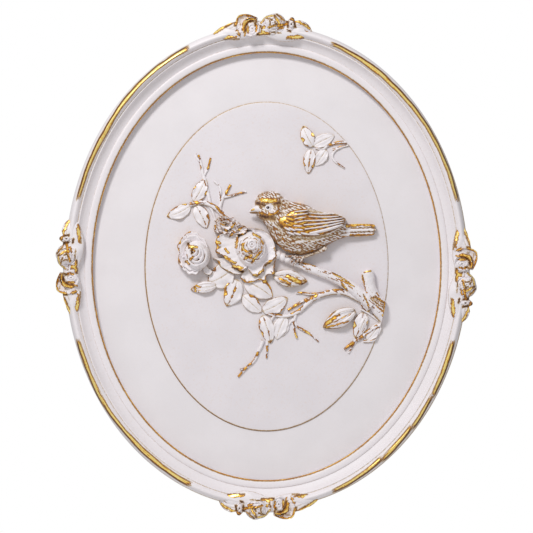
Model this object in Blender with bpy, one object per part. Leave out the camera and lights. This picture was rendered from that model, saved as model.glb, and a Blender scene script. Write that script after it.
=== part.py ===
"""Oval wall plaque of cast resin: a moulded frame with four rose ornaments, a field panel and
a relief medallion with a bird on a rose branch.

The back lies in the plane y = 0, against the wall. The front faces -Y, +Z is up, and the origin
is the centre of the back. The relief is drawn in millimetres about the medallion's centre, at the
drawn size, and is carried onto the plate by shares of the plate's own width and height.
"""

import math

import bmesh
import bpy
from mathutils import Vector

MM = 0.001
GAP = 0.3 * MM

# Frame: a moulding of constant width round an oval.
FRAME_WIDTH = 404 * MM
FRAME_HEIGHT = 484 * MM
MOULDING_WIDTH = 28 * MM
MOULDING_DEPTH = 27.5 * MM
ROLL_WIDTH = 10.5 * MM
ROLL_RISE = 8 * MM
QUIRK_WIDTH = 1.2 * MM
QUIRK_DROP = 1.2 * MM
BAND_WIDTH = 8 * MM
BAND_RISE = 1.8 * MM
LIP_RISE = 6 * MM
REBATE_WIDTH = 5 * MM
OVAL_STEPS = 52

# Field panel: it swells from its rim to the medallion, which is let into a shallow pocket.
PANEL_THICKNESS = 8 * MM
PANEL_RISE = 1.5 * MM
POCKET_DEPTH = 2.5 * MM

# Medallion plate.
MEDALLION_WIDTH = 245 * MM
MEDALLION_HEIGHT = 331 * MM
MEDALLION_THICKNESS = 3.5 * MM
MEDALLION_DOME = 2 * MM
MEDALLION_EDGE = 1 * MM

# Relief that reaches past this share of the plate's outline is trimmed this far inside its edge.
NEAR_EDGE = 0.97
TRIM_MARGIN = 0.8 * MM

# Relief: height of the bird's breast over the plate, and the size at which it was drawn.
RELIEF_DEPTH = 22 * MM
DRAWN_WIDTH = 245
DRAWN_HEIGHT = 331
DRAWN_DEPTH = 22
SINK = 1.5

# Ornaments on the frame: their length along the rim, how far they stand out of it and their height
# over the wall. They were drawn at the sizes below, with their floor at a height over the wall.
ORNAMENT_LENGTH = 98 * MM
ORNAMENT_REACH = 11 * MM
ORNAMENT_HEIGHT = 34 * MM
DRAWN_ORNAMENT_LENGTH = 98
DRAWN_ORNAMENT_REACH = 11
DRAWN_ORNAMENT_HEIGHT = 34
ORNAMENT_FLOOR = 7

# Keyhole pocket in the back of the frame, for a screw head.
KEYHOLE_MOUTH = 11 * MM
KEYHOLE_SLOT = 5 * MM
KEYHOLE_TRAVEL = 7 * MM
KEYHOLE_DEPTH = 8 * MM
KEYHOLE_WALL = 2.5 * MM
KEYHOLE_BELOW_EDGE = 16 * MM

# Neighbouring faces within this angle are merged into one, and faces thinner than this are dropped.
FLAT_ANGLE = math.radians(4.5)
SLIVER = 0.01 * MM
SHARP_ANGLE = math.radians(38)

RESIN_WHITE = (0.80, 0.77, 0.78, 1.0)
PANEL_WHITE = (0.84, 0.82, 0.84, 1.0)
RELIEF_WHITE = (0.78, 0.75, 0.77, 1.0)
RESIN_ROUGHNESS = 0.5

SEAT_HEIGHT = PANEL_THICKNESS + PANEL_RISE - POCKET_DEPTH
LIP_UNDERSIDE = PANEL_THICKNESS + GAP
LIP_HEIGHT = LIP_UNDERSIDE + LIP_RISE
PLATE_BACK = SEAT_HEIGHT + GAP
PLATE_FACE = PLATE_BACK + MEDALLION_THICKNESS

# Leaves on the plate: base x, z, tip x, z, width and lift.
LEAVES = [
    (-75, 60, -99, 50, 13, 3.5),
    (-72, 61, -61, 39, 14, 3.5),
    (-73, 67, -61, 88, 13.5, 3.0),
    (-35, -2, -59, -16, 21, 5.0),
    (-50, -18, -75, -23, 11, 5.5),
    (-29, -14, -40, -39, 17, 5.0),
    (-20, -16, 6, -31, 20, 5.0),
    (-22, -31, -5, -45, 13, 3.5),
    (-3, -44, 20, -31, 15, 4.0),
    (-3, -49, 5, -76, 14, 5.0),
    (18, -51, 10, -72, 13, 2.0),
    (95, -48, 90, -71, 13.5, 3.5),
    (113, -57, 100, -74, 11, 1.8),
    (100, -46, 92, -25, 10, 7.0),
    (46, 120, 37, 140, 12.5, 4.0),
    (44, 118, 42, 94, 11, 3.0),
    (47, 121, 67, 131, 12, 2.0),
    (59, 117, 50, 102, 11, 2.2),
]

# A leaf wider than this has two lobes beside a sunk midrib, and a narrower one a raised midrib.
FINE_LEAF_WIDTH = 13.2

# Twigs on the plate: radius at the start, radius at the end, and the points x, z of the run.
TWIGS = [
    (1.9, 1.5, [(-57, 62), (-59.5, 77), (-62, 87), (-64, 93), (-67.5, 111)]),
    (1.5, 1.1, [(-63, 91), (-57, 108)]),
    (2.0, 1.3, [(-42, 50), (-46.5, 58), (-45.5, 64), (-42.5, 71), (-36, 82)]),
    (1.4, 1.1, [(-43.5, 69), (-35, 71), (-20, 75)]),
    (1.5, 1.1, [(-46, 62), (-47, 72), (-48, 81), (-52.5, 86)]),
    (2.2, 2.8, [(-75, 62), (-65.5, 64), (-58, 62.5), (-50, 58), (-41, 50)]),
    (1.5, 1.2, [(-58, 61), (-51, 47)]),
    (1.9, 1.2, [(-3.5, -74), (-8, -86), (-12, -94), (-19, -100.5), (-28.5, -110.5)]),
    (1.4, 1.1, [(0.5, -72), (0.5, -85), (1, -92)]),
    (1.4, 1.0, [(-16, -98.5), (-25.5, -103)]),
    (2.6, 1.7, [(91, -31), (81, -26.5), (72, -24.5), (52, -29.5), (43, -33), (37.5, -40),
                (30.5, -46.5), (21.5, -50), (4, -48)]),
    (1.5, 1.1, [(44, -32), (28.5, -37.5), (20, -43.5)]),
    (1.5, 1.1, [(53, -29), (29.5, -26.5)]),
    (1.6, 1.2, [(29.5, -47), (27.5, -55.5), (28.5, -70)]),
    (1.5, 1.1, [(27.5, -55), (30.5, -61), (42, -66.5), (53, -75.5)]),
    (2.0, 1.4, [(112, -58), (103, -63.5), (96.5, -68), (89, -73), (77.5, -80)]),
    (1.4, 1.1, [(90, -72), (82, -84.5)]),
    (1.6, 1.3, [(82.5, 121.5), (80, 125), (71, 124.5), (61, 121), (57, 118), (45, 119.5)]),
    (1.4, 1.1, [(82, 121.8), (75.5, 118.5), (67.5, 114.5), (65, 109), (71.5, 104), (78, 98.5)]),
]

# Thick branches on the plate: radius at the start, radius at the end, and the points x, height, z.
BRANCHES = {
    "main_branch": (4.2, 8.5, [(5, 3, 15), (17, 4, 10), (37, 4, 2.5), (64, 4, -10.5), (91, 3.5, -26),
                               (128, 3, -58)]),
    "branch_root": (8.0, 12.5, [(98, 3, -30), (112, 4, -43), (128, 4, -52)]),
    "stub": (7.5, 6.0, [(106, 3, -34), (104, 5, -20), (101, 7, -4)]),
}

# Ridge of bark along the main branch: its ends as x, height, z.
BARK_RIDGE = ((84, 8, -19), (118, 11, -40))

# Body of the bird, from the throat to the root of the tail: x, top z, bottom z and height.
BIRD_BODY = [
    (-3, 56, 46, 8),
    (3, 60, 34, 15),
    (10, 62.5, 23, 19),
    (20, 65.5, 15, 21.5),
    (32, 63.5, 11.5, 22),
    (44, 60, 13.5, 20.5),
    (56, 54.5, 19, 17),
    (66, 49.5, 25, 13),
    (75, 45.5, 29.5, 9.5),
    (84, 43, 31, 6.5),
]
HEAD_CENTRE = (2.0, 59.5)
HEAD_SIZE = (31, 31)
HEAD_HEIGHT = 20.5
SHOULDER_CENTRE = (29, 47)
SHOULDER_SIZE = (36, 28)
SHOULDER_HEIGHT = 23.5

# Beak, leg and toes of the bird: points x, height, z.
BEAK_BASE = (-7.5, 10, 56.5)
BEAK_TIP = (-18, 7.5, 54.5)
BEAK_RADIUS = 4.8
LEG = [(57, 9, 20), (44, 9, 13), (28, 9, 8)]
TOES = [
    [(28, 9, 8), (19, 10, 11), (13, 7.5, 6)],
    [(28, 9, 8), (22, 10.5, 6), (17, 6, 1)],
    [(28, 9, 8), (26, 10, 3), (23, 6, -1)],
]

# Feathers of the wing and the tail: root x, z, height, tip x, z, height and width.
FEATHERS = [
    (30, 36, 20.0, 68, 34.5, 12.0, 8),
    (31, 41, 21.0, 73, 38.5, 11.5, 8),
    (32, 46, 22.0, 78, 43, 11.0, 8),
    (34, 51, 21.5, 79, 47, 10.5, 8),
    (36, 56, 19.5, 76, 50.5, 10.0, 8),
    (66, 35, 8.0, 108, 35, 5.0, 7),
    (66, 38.5, 9.0, 110, 38.5, 5.5, 7),
    (66, 42, 8.5, 107, 42, 5.0, 6),
]

# Tiers of an open rose as shares of its radius and height, with the number of petals and the turn
# of each tier. The last tier curls into the hollow heart.
ROSE_TIERS = [
    (1.00, 0.00, 5, 0.0),
    (1.04, 0.44, 5, 0.0),
    (0.86, 0.60, 5, 0.0),
    (0.76, 0.50, 4, 0.6),
    (0.72, 0.80, 4, 0.6),
    (0.52, 0.72, 3, 1.3),
    (0.47, 0.96, 3, 1.3),
    (0.30, 1.00, 3, 1.3),
    (0.15, 0.82, 3, 2.0),
]
BUD_TIERS = [
    (1.00, 0.00, 3, 0.0),
    (1.02, 0.50, 3, 0.0),
    (0.80, 0.80, 3, 0.5),
    (0.60, 0.70, 3, 1.1),
    (0.50, 1.00, 2, 1.1),
    (0.22, 0.86, 2, 1.6),
]
PETAL_WAVE = 0.07
HEART_SINK = 0.04

# Roses on the plate: centre x, z, radii, height, number of tiers, sides and turn.
ROSES = {
    "left_rose_petals": ((-73, 13.5), (15.5, 21.5), 11, 4, 10, 0.0),
    "left_rose": ((-71, 11.5), (11.5, 12.5), 17, 9, 11, 0.7),
    "upper_rose": ((-36, 40), (17.5, 11.5), 14, 9, 11, 0.2),
    "centre_rose_petals": ((-12, 7), (24, 22), 11, 4, 12, 0.9),
    "centre_rose": ((-16, 17.5), (15.5, 16), 21, 9, 12, 0.4),
}

# Loose petals under the centre rose: base and tip as x, height, z, and width.
PETALS = {
    "side_petal": ((-22, 2, -2), (-50, 10, 23), 20),
    "low_petal": ((-14, 2, -2), (-18, 8, -18), 24),
}

# Buds on the plate: base x, z, tip x, z, width of a sepal and lift.
BUDS = [
    (9, -10, 41, -14, 8.5, 9),
    (88, -45, 58, -61, 8.5, 8),
]

# Seats of the top, right, bottom and left ornament, in drawn millimetres: how far each is shifted
# clockwise from its axis, and outwards.
ORNAMENT_SEATS = [(-5, 0), (7, -2.5), (-3, 0), (-2, -2.5)]

# Leaves of one ornament: base s, r, height, tip s, r, height and width, where s runs along the rim
# and r stands out of it.
ORNAMENT_LEAVES = [
    (-16, -1, 27, -49, 1, 22, 12),
    (-18, -9, 25, -46, -7, 20, 9),
    (26, -2, 28, 50, 0, 23, 12),
    (24, -10, 26, 47, -8, 20, 9),
    (-22, 3, 30, -2, 5, 24, 13),
    (-3, -6, 25, 8, -13, 20, 8),
]


def rim_point(angle, inset, height):
    """Give the point that lies inset from the frame's outer edge, square to it."""
    across = FRAME_WIDTH / 2
    up = FRAME_HEIGHT / 2
    normal = Vector((up * math.cos(angle), 0, across * math.sin(angle))).normalized()
    edge = Vector((across * math.cos(angle), -height, up * math.sin(angle)))
    return edge - normal * inset


def medallion_point(angle, inset, height):
    """Give the point of the medallion's outline at an angle, moved inwards by inset."""
    across = MEDALLION_WIDTH / 2 - inset
    up = MEDALLION_HEIGHT / 2 - inset
    return Vector((across * math.cos(angle), -height, up * math.sin(angle)))


def arc(centre, radii, start, end, steps):
    """Give points along an elliptical arc, with its angles in degrees."""
    points = []
    for step in range(steps + 1):
        angle = math.radians(start + (end - start) * step / steps)
        points.append((centre[0] + radii[0] * math.cos(angle), centre[1] + radii[1] * math.sin(angle)))
    return points


def material(name, colour):
    resin = bpy.data.materials.new(name)
    resin.use_nodes = True
    shader = resin.node_tree.nodes["Principled BSDF"]
    shader.inputs["Base Color"].default_value = colour
    shader.inputs["Roughness"].default_value = RESIN_ROUGHNESS
    shader.inputs["Metallic"].default_value = 0.0
    resin.diffuse_color = colour
    return resin


def mesh_object(name, bm, collection):
    """Make an object from a closed bmesh, with its faces turned outwards."""
    bmesh.ops.recalc_face_normals(bm, faces=bm.faces)
    if bm.calc_volume(signed=True) < 0:
        bmesh.ops.reverse_faces(bm, faces=bm.faces)
    mesh = bpy.data.meshes.new(name)
    bm.to_mesh(mesh)
    bm.free()
    obj = bpy.data.objects.new(name, mesh)
    collection.objects.link(obj)
    return obj


def bake(obj):
    """Give the object the mesh that its modifiers make, and drop the modifiers."""
    evaluated = obj.evaluated_get(bpy.context.evaluated_depsgraph_get())
    shaped = bpy.data.meshes.new_from_object(evaluated)
    plain = obj.data
    obj.modifiers.clear()
    obj.data = shaped
    bpy.data.meshes.remove(plain)


def combine(body, piece, operation, solver="EXACT"):
    """Apply one Boolean to the body."""
    cut = body.modifiers.new(operation.title(), "BOOLEAN")
    cut.operation = operation
    cut.solver = solver
    cut.object = piece
    bake(body)


def unite(body, pieces, solver="EXACT"):
    """Weld the pieces onto the body, one closed solid after another."""
    for piece in pieces:
        combine(body, piece, "UNION", solver)
        bpy.data.objects.remove(piece)


def fill_cavities(obj):
    """Make the casting solid: keep its outer skin and drop any closed skin inside it."""
    bm = bmesh.new()
    bm.from_mesh(obj.data)
    unseen = set(bm.verts)
    skins = []
    while unseen:
        front = [unseen.pop()]
        skin = list(front)
        while front:
            near = [edge.other_vert(vert) for vert in front for edge in vert.link_edges]
            front = list({vert for vert in near if vert in unseen})
            unseen.difference_update(front)
            skin.extend(front)
        skins.append(skin)
    skins.sort(key=len)
    for skin in skins[:-1]:
        bmesh.ops.delete(bm, geom=skin, context="VERTS")
    bm.to_mesh(obj.data)
    bm.free()


def tidy(obj):
    """Merge the scraps that the unions leave in nearly flat faces, and drop the slivers."""
    flatten = obj.modifiers.new("Flatten", "DECIMATE")
    flatten.decimate_type = "DISSOLVE"
    flatten.angle_limit = FLAT_ANGLE
    bake(obj)
    bm = bmesh.new()
    bm.from_mesh(obj.data)
    bmesh.ops.triangulate(bm, faces=bm.faces)
    bmesh.ops.dissolve_degenerate(bm, dist=SLIVER, edges=bm.edges)
    bm.to_mesh(obj.data)
    bm.free()


def shade(obj, resin):
    obj.data.shade_smooth()
    obj.data.set_sharp_from_angle(angle=SHARP_ANGLE)
    obj.data.materials.clear()
    obj.data.materials.append(resin)


def reshape_layers(name, columns, rows, top, floor, collection):
    """Make a block from a grid: top(u, w) gives its upper face and floor(point) the spot below it."""
    bm = bmesh.new()
    bmesh.ops.create_grid(bm, x_segments=columns, y_segments=rows, size=1)
    lower = list(bm.verts)
    raised = bmesh.ops.extrude_face_region(bm, geom=list(bm.faces))
    upper = [item for item in raised["geom"] if isinstance(item, bmesh.types.BMVert)]
    for vert in lower:
        vert.co = floor(top((vert.co.x + 1) / 2, vert.co.y))
    for vert in upper:
        vert.co = top((vert.co.x + 1) / 2, vert.co.y)
    return mesh_object(name, bm, collection)


def blade(name, base, tip, width, lift, floor, collection, blunt=0.75, keel=0.35, columns=4, rows=4):
    """Make a leaf, petal or feather from base to tip, with two raised lobes beside its midrib.

    A low blunt value pulls the widest place towards the base, and a negative keel turns the sunk
    midrib into a raised shaft.
    """
    base = Vector(base)
    run = Vector(tip) - base
    side = Vector((-run.z, 0, run.x)).normalized()

    def top(u, w):
        spread = max(math.sin(math.pi * min(u ** blunt, 1.0)), 0.0) ** 0.7
        half = width / 2 * (0.08 + 0.92 * spread)
        lobe = 1 - 0.55 * w * w - keel * (1 - abs(w)) ** 2
        return base + run * u + side * (half * w) + Vector((0, -lift * lobe * (0.3 + 0.7 * spread), 0))

    return reshape_layers(name, columns, rows, top, floor, collection)


def rose(name, centre, radii, height, tiers, segments, floor_y, collection, turn=0.0):
    """Make a rose from a sphere whose rings become the tiers of its petals.

    The lower pole and the first tier lie on the floor. The ring above the last tier and the upper
    pole make the sunk heart.
    """
    bm = bmesh.new()
    rings = len(tiers) + 2
    bmesh.ops.create_uvsphere(bm, u_segments=segments, v_segments=rings, radius=1)
    for vert in bm.verts:
        tier = round((1 - math.acos(max(-1.0, min(1.0, vert.co.z))) / math.pi) * rings) - 1
        angle = math.atan2(vert.co.y, vert.co.x) + turn
        wave = 0.0
        if tier < 0:
            share, rise = 0.0, 0.0
        elif tier < len(tiers):
            share, rise, petals, phase = tiers[tier]
            wave = PETAL_WAVE * abs(math.sin(petals * angle / 2 + phase)) ** 0.6
        else:
            share = tiers[-1][0] / 2 if tier == len(tiers) else 0.0
            rise = tiers[-1][1] - HEART_SINK
        spread = share * (1 - PETAL_WAVE / 2 + wave)
        vert.co = Vector((
            centre[0] + radii[0] * spread * math.cos(angle),
            floor_y if tier <= 0 else -height * rise * (1 + wave / 2),
            centre[1] + radii[1] * spread * math.sin(angle),
        ))
    return mesh_object(name, bm, collection)


def relief_floor(point):
    return Vector((point.x, SINK, point.z))


def ornament_floor(point):
    return Vector((point.x, -ORNAMENT_FLOOR, point.z))


def to_plate(obj):
    """Carry a piece from the drawing onto the plate's domed face."""
    for vert in obj.data.vertices:
        x = vert.co.x * MEDALLION_WIDTH / DRAWN_WIDTH
        z = vert.co.z * MEDALLION_HEIGHT / DRAWN_HEIGHT
        rise = -min(vert.co.y, SINK) * RELIEF_DEPTH / DRAWN_DEPTH
        reach = (2 * x / MEDALLION_WIDTH) ** 2 + (2 * z / MEDALLION_HEIGHT) ** 2
        face = PLATE_FACE + MEDALLION_DOME * max(1 - reach, 0.0)
        vert.co = (x, -(face + rise), z)
    return obj


def tube(name, points, start_radius, end_radius, collection, sides=1, steps=2):
    """Make a round twig through points (x, height, z), tapering from one radius to the other."""
    path = bpy.data.curves.new(name, "CURVE")
    path.dimensions = "3D"
    path.fill_mode = "FULL"
    path.bevel_depth = 1.0
    path.bevel_resolution = sides
    path.use_fill_caps = True
    path.resolution_u = steps
    spline = path.splines.new("BEZIER")
    spline.bezier_points.add(len(points) - 1)
    for index, (knot, point) in enumerate(zip(spline.bezier_points, points)):
        knot.co = (point[0], -point[1], point[2])
        knot.handle_left_type = "AUTO"
        knot.handle_right_type = "AUTO"
        knot.radius = start_radius + (end_radius - start_radius) * index / (len(points) - 1)
    curve = bpy.data.objects.new(name + "_path", path)
    collection.objects.link(curve)
    evaluated = curve.evaluated_get(bpy.context.evaluated_depsgraph_get())
    mesh = bpy.data.meshes.new_from_object(evaluated)
    bm = bmesh.new()
    bm.from_mesh(mesh)
    bpy.data.objects.remove(curve)
    bpy.data.meshes.remove(mesh)
    bmesh.ops.remove_doubles(bm, verts=bm.verts, dist=0.0001)
    return mesh_object(name, bm, collection)


def lofted_body(name, sections, collection, segments=12):
    """Make the bird's body: a sphere whose rings take their size from the sections."""
    bm = bmesh.new()
    rings = len(sections) + 1
    bmesh.ops.create_uvsphere(bm, u_segments=segments, v_segments=rings, radius=1)
    for vert in bm.verts:
        ring = round((1 - math.acos(max(-1.0, min(1.0, vert.co.z))) / math.pi) * rings)
        angle = math.atan2(vert.co.y, vert.co.x)
        if ring == 0 or ring == rings:
            x, top, bottom, rise = sections[0 if ring == 0 else -1]
            nudge = -2.5 if ring == 0 else 2.5
            vert.co = Vector((x + nudge, -rise * 0.4, (top + bottom) / 2))
            continue
        x, top, bottom, rise = sections[ring - 1]
        middle = (top + bottom) / 2
        vert.co = Vector((x, -rise * math.sin(angle), middle + (top - bottom) / 2 * math.cos(angle)))
    return mesh_object(name, bm, collection)


def ball(name, centre, size, height, collection, rise=0.35, segments=10):
    """Make a rounded mass whose top stands at a height over the plate."""
    bm = bmesh.new()
    bmesh.ops.create_uvsphere(bm, u_segments=segments, v_segments=segments // 2 + 1, radius=1)
    for vert in bm.verts:
        depth = height * (1 - rise)
        vert.co = Vector((
            centre[0] + vert.co.x * size[0] / 2,
            -(height * rise + vert.co.z * depth),
            centre[1] + vert.co.y * size[1] / 2,
        ))
    return mesh_object(name, bm, collection)


def moulding_profile():
    """Give the moulding's cross-section as (inset, height), from the back of the outer edge."""
    centre = MOULDING_DEPTH - ROLL_RISE
    roll = arc((ROLL_WIDTH / 2, centre), (ROLL_WIDTH / 2, ROLL_RISE), 180, 30, 5)
    cove_start = ROLL_WIDTH + QUIRK_WIDTH
    cove_end = MOULDING_WIDTH - BAND_WIDTH
    cove_top = roll[-1][1] - QUIRK_DROP / 2
    cove = arc((cove_end, cove_top), (cove_end - cove_start, cove_top - LIP_HEIGHT - BAND_RISE / 2),
               180, 270, 3)
    band = arc((cove_end + BAND_WIDTH / 2, LIP_HEIGHT), (BAND_WIDTH / 2, BAND_RISE), 135, 0, 2)
    rebate = MOULDING_WIDTH - REBATE_WIDTH
    quirk = [(ROLL_WIDTH, roll[-1][1] - QUIRK_DROP)]
    back = [(MOULDING_WIDTH, LIP_UNDERSIDE), (rebate, LIP_UNDERSIDE), (rebate, 0.0)]
    return [(0.0, 0.0)] + roll + quirk + cove + band + back


def closed_spline(curve, points):
    spline = curve.splines.new("POLY")
    spline.points.add(len(points) - 1)
    for knot, point in zip(spline.points, points):
        knot.co = (point[0], point[1], 0.0, 1.0)
    spline.use_cyclic_u = True


def sweep_moulding(collection):
    """Sweep the moulding's cross-section along the oval of its outer edge."""
    section = bpy.data.curves.new("moulding_section", "CURVE")
    section.dimensions = "2D"
    section.fill_mode = "NONE"
    closed_spline(section, moulding_profile())
    section_object = bpy.data.objects.new("moulding_section", section)
    collection.objects.link(section_object)

    path = bpy.data.curves.new("moulding_path", "CURVE")
    path.dimensions = "2D"
    path.fill_mode = "NONE"
    path.bevel_mode = "OBJECT"
    path.bevel_object = section_object
    edge = [rim_point(2 * math.pi * step / OVAL_STEPS, 0, 0) for step in range(OVAL_STEPS)]
    closed_spline(path, [(point.x, point.z) for point in edge])
    path_object = bpy.data.objects.new("moulding_path", path)
    path_object.rotation_euler = (math.radians(90), 0, 0)
    collection.objects.link(path_object)

    evaluated = path_object.evaluated_get(bpy.context.evaluated_depsgraph_get())
    mesh = bpy.data.meshes.new_from_object(evaluated)
    mesh.transform(evaluated.matrix_world)
    bm = bmesh.new()
    bm.from_mesh(mesh)
    bmesh.ops.remove_doubles(bm, verts=bm.verts, dist=0.000001)
    bpy.data.objects.remove(path_object)
    bpy.data.objects.remove(section_object)
    bpy.data.meshes.remove(mesh)
    return mesh_object("oval_frame", bm, collection)


def ornament_pieces(collection):
    """Model one ornament in millimetres: x runs along the rim and z stands out of it."""
    pieces = []
    for s, r, rise, tip_s, tip_r, tip_rise, width in ORNAMENT_LEAVES:
        pieces.append(blade("ornament_leaf", (s, -rise, r), (tip_s, -tip_rise, tip_r), width, 3.5,
                            ornament_floor, collection, keel=-0.2, columns=3, rows=2))
    floor_y = -ORNAMENT_FLOOR
    pieces.append(rose("bowl_rose", (-11, 0), (11.5, 10.5), 33, ROSE_TIERS, 10, floor_y, collection))
    pieces.append(rose("spiral_rose", (12.5, 0.5), (10.5, 10), 34, BUD_TIERS, 8, floor_y, collection))
    pieces.append(rose("curl", (30, -1.5), (5.5, 7), 31, BUD_TIERS[1:4], 7, floor_y, collection))
    return pieces


def to_rim(obj, side):
    """Bend a piece that was modelled straight round the rim, at a quarter turn clockwise per side."""
    start = math.radians(90 - 90 * side)
    shift, stand = ORNAMENT_SEATS[side]
    speed = FRAME_WIDTH / 2 if side % 2 == 0 else FRAME_HEIGHT / 2
    for vert in obj.data.vertices:
        along = (vert.co.x + shift) * ORNAMENT_LENGTH / DRAWN_ORNAMENT_LENGTH
        out = (vert.co.z + stand) * ORNAMENT_REACH / DRAWN_ORNAMENT_REACH
        above = -vert.co.y / DRAWN_ORNAMENT_HEIGHT * ORNAMENT_HEIGHT
        vert.co = rim_point(start - along / speed, -out, above)
    return obj


def keyhole_cutters(collection):
    """Make the pocket, its mouth and the slot that runs up from the mouth."""
    mouth_z = FRAME_HEIGHT / 2 - KEYHOLE_BELOW_EDGE
    overrun = GAP * 4

    def drum(name, z, radius, near, far):
        bpy.ops.mesh.primitive_cylinder_add(
            vertices=20, radius=radius, depth=far - near,
            location=(0, -(near + far) / 2, z), rotation=(math.radians(90), 0, 0))
        obj = bpy.context.object
        obj.name = name
        return obj

    def slab(name, width, near, far):
        centre = (0, -(near + far) / 2, mouth_z + KEYHOLE_TRAVEL / 2)
        bpy.ops.mesh.primitive_cube_add(size=1, location=centre)
        obj = bpy.context.object
        obj.name = name
        obj.scale = (width, far - near, KEYHOLE_TRAVEL)
        return obj

    pieces = [
        drum("keyhole_mouth", mouth_z, KEYHOLE_MOUTH / 2, -overrun, KEYHOLE_DEPTH),
        drum("keyhole_slot_end", mouth_z + KEYHOLE_TRAVEL, KEYHOLE_SLOT / 2, -overrun, KEYHOLE_DEPTH - GAP),
        slab("keyhole_slot", KEYHOLE_SLOT - GAP, -overrun, KEYHOLE_DEPTH - 2 * GAP),
        drum("keyhole_pocket", mouth_z + KEYHOLE_TRAVEL, KEYHOLE_MOUTH / 2 - GAP, KEYHOLE_WALL,
             KEYHOLE_DEPTH - 3 * GAP),
        slab("keyhole_run", KEYHOLE_MOUTH - 3 * GAP, KEYHOLE_WALL + GAP, KEYHOLE_DEPTH - 4 * GAP),
    ]
    for piece in pieces:
        for owner in list(piece.users_collection):
            owner.objects.unlink(piece)
        collection.objects.link(piece)
    cutter = pieces[0]
    unite(cutter, pieces[1:])
    cutter.hide_render = True
    cutter.display_type = "WIRE"
    return cutter


def oval_loft(name, loops, collection):
    """Join loops of equal length into a closed solid, with flat caps on the first and the last."""
    bm = bmesh.new()
    rows = [[bm.verts.new(point) for point in loop] for loop in loops]
    for lower, upper in zip(rows, rows[1:]):
        for index in range(len(lower)):
            following = (index + 1) % len(lower)
            bm.faces.new((lower[index], lower[following], upper[following], upper[index]))
    bm.faces.new(rows[0])
    bm.faces.new(rows[-1])
    return mesh_object(name, bm, collection)


def make_frame(parts, cutters):
    frame = sweep_moulding(parts)
    for side in range(4):
        unite(frame, [to_rim(piece, side) for piece in ornament_pieces(parts)])
    combine(frame, keyhole_cutters(cutters), "DIFFERENCE")
    tidy(frame)
    shade(frame, material("frame_resin", RESIN_WHITE))


def make_panel(parts):
    """Loft the panel from its outline in the rebate to the pocket that holds the medallion."""
    angles = [2 * math.pi * step / OVAL_STEPS for step in range(OVAL_STEPS)]
    inset = MOULDING_WIDTH - REBATE_WIDTH + GAP
    loops = [
        [rim_point(angle, inset, 0) for angle in angles],
        [rim_point(angle, inset, PANEL_THICKNESS) for angle in angles],
        [rim_point(angle, MOULDING_WIDTH, PANEL_THICKNESS) for angle in angles],
    ]
    for share in (0.5, 1.0):
        height = PANEL_THICKNESS + PANEL_RISE * math.sin(share * math.pi / 2)
        outer = [rim_point(angle, MOULDING_WIDTH, height) for angle in angles]
        inner = [medallion_point(angle, -GAP, height) for angle in angles]
        loops.append([far.lerp(near, share) for far, near in zip(outer, inner)])
    loops.append([medallion_point(angle, -GAP, SEAT_HEIGHT) for angle in angles])
    panel = oval_loft("field_panel", loops, parts)
    shade(panel, material("field_resin", PANEL_WHITE))


def plate_loops():
    """Give the plate's loops: straight edge, rounded shoulder and domed face."""
    angles = [2 * math.pi * step / OVAL_STEPS for step in range(OVAL_STEPS)]
    shoulder = PLATE_FACE - MEDALLION_EDGE
    loops = [
        [medallion_point(angle, 0, PLATE_BACK) for angle in angles],
        [medallion_point(angle, 0, shoulder) for angle in angles],
        [medallion_point(angle, MEDALLION_EDGE * 0.3, shoulder + MEDALLION_EDGE * 0.7) for angle in angles],
        [medallion_point(angle, MEDALLION_EDGE, PLATE_FACE) for angle in angles],
    ]
    for share in (0.75, 0.4):
        loop = []
        for angle in angles:
            point = medallion_point(angle, 0, PLATE_FACE + MEDALLION_DOME * (1 - share * share))
            loop.append(Vector((point.x * share, point.y, point.z * share)))
        loops.append(loop)
    return loops


def flowers(collection):
    """Model the three roses with their outer petals, and the sepals of the buds."""
    pieces = []
    for name, (centre, radii, height, tiers, sides, turn) in ROSES.items():
        pieces.append(rose(name, centre, radii, height, ROSE_TIERS[:tiers], sides, SINK, collection, turn))
    for name, ((x, rise, z), (tip_x, tip_rise, tip_z), width) in PETALS.items():
        pieces.append(blade(name, (x, -rise, z), (tip_x, -tip_rise, tip_z), width, 5, relief_floor,
                            collection, keel=0.6))
    for base_x, base_z, tip_x, tip_z, width, lift in BUDS:
        run = Vector((tip_x - base_x, 0, tip_z - base_z))
        side = Vector((-run.z, 0, run.x)).normalized()
        base = Vector((base_x, -1, base_z))
        for shift in (-0.3, 0.3):
            start = base + side * (width * shift)
            end = start + run * (1 - abs(shift - 0.3) * 0.25)
            pieces.append(blade("bud_sepal", start, end, width, lift, relief_floor, collection,
                                blunt=0.6, keel=-0.2, rows=2))
    return pieces


def branches(collection):
    """Model the main branch, its sawn stub and the twigs."""
    ridge = [Vector((x, -rise, z)) for x, rise, z in BARK_RIDGE]
    pieces = [blade("bark_ridge", ridge[0], ridge[1], 9, 3.5, relief_floor, collection)]
    for name, (start_radius, end_radius, points) in BRANCHES.items():
        pieces.append(tube(name, points, start_radius, end_radius, collection, sides=2, steps=1))
    for start_radius, end_radius, run in TWIGS:
        points = [(x, start_radius * 0.5, z) for x, z in run]
        pieces.append(tube("twig", points, start_radius, end_radius, collection, sides=0, steps=1))
    return pieces


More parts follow.
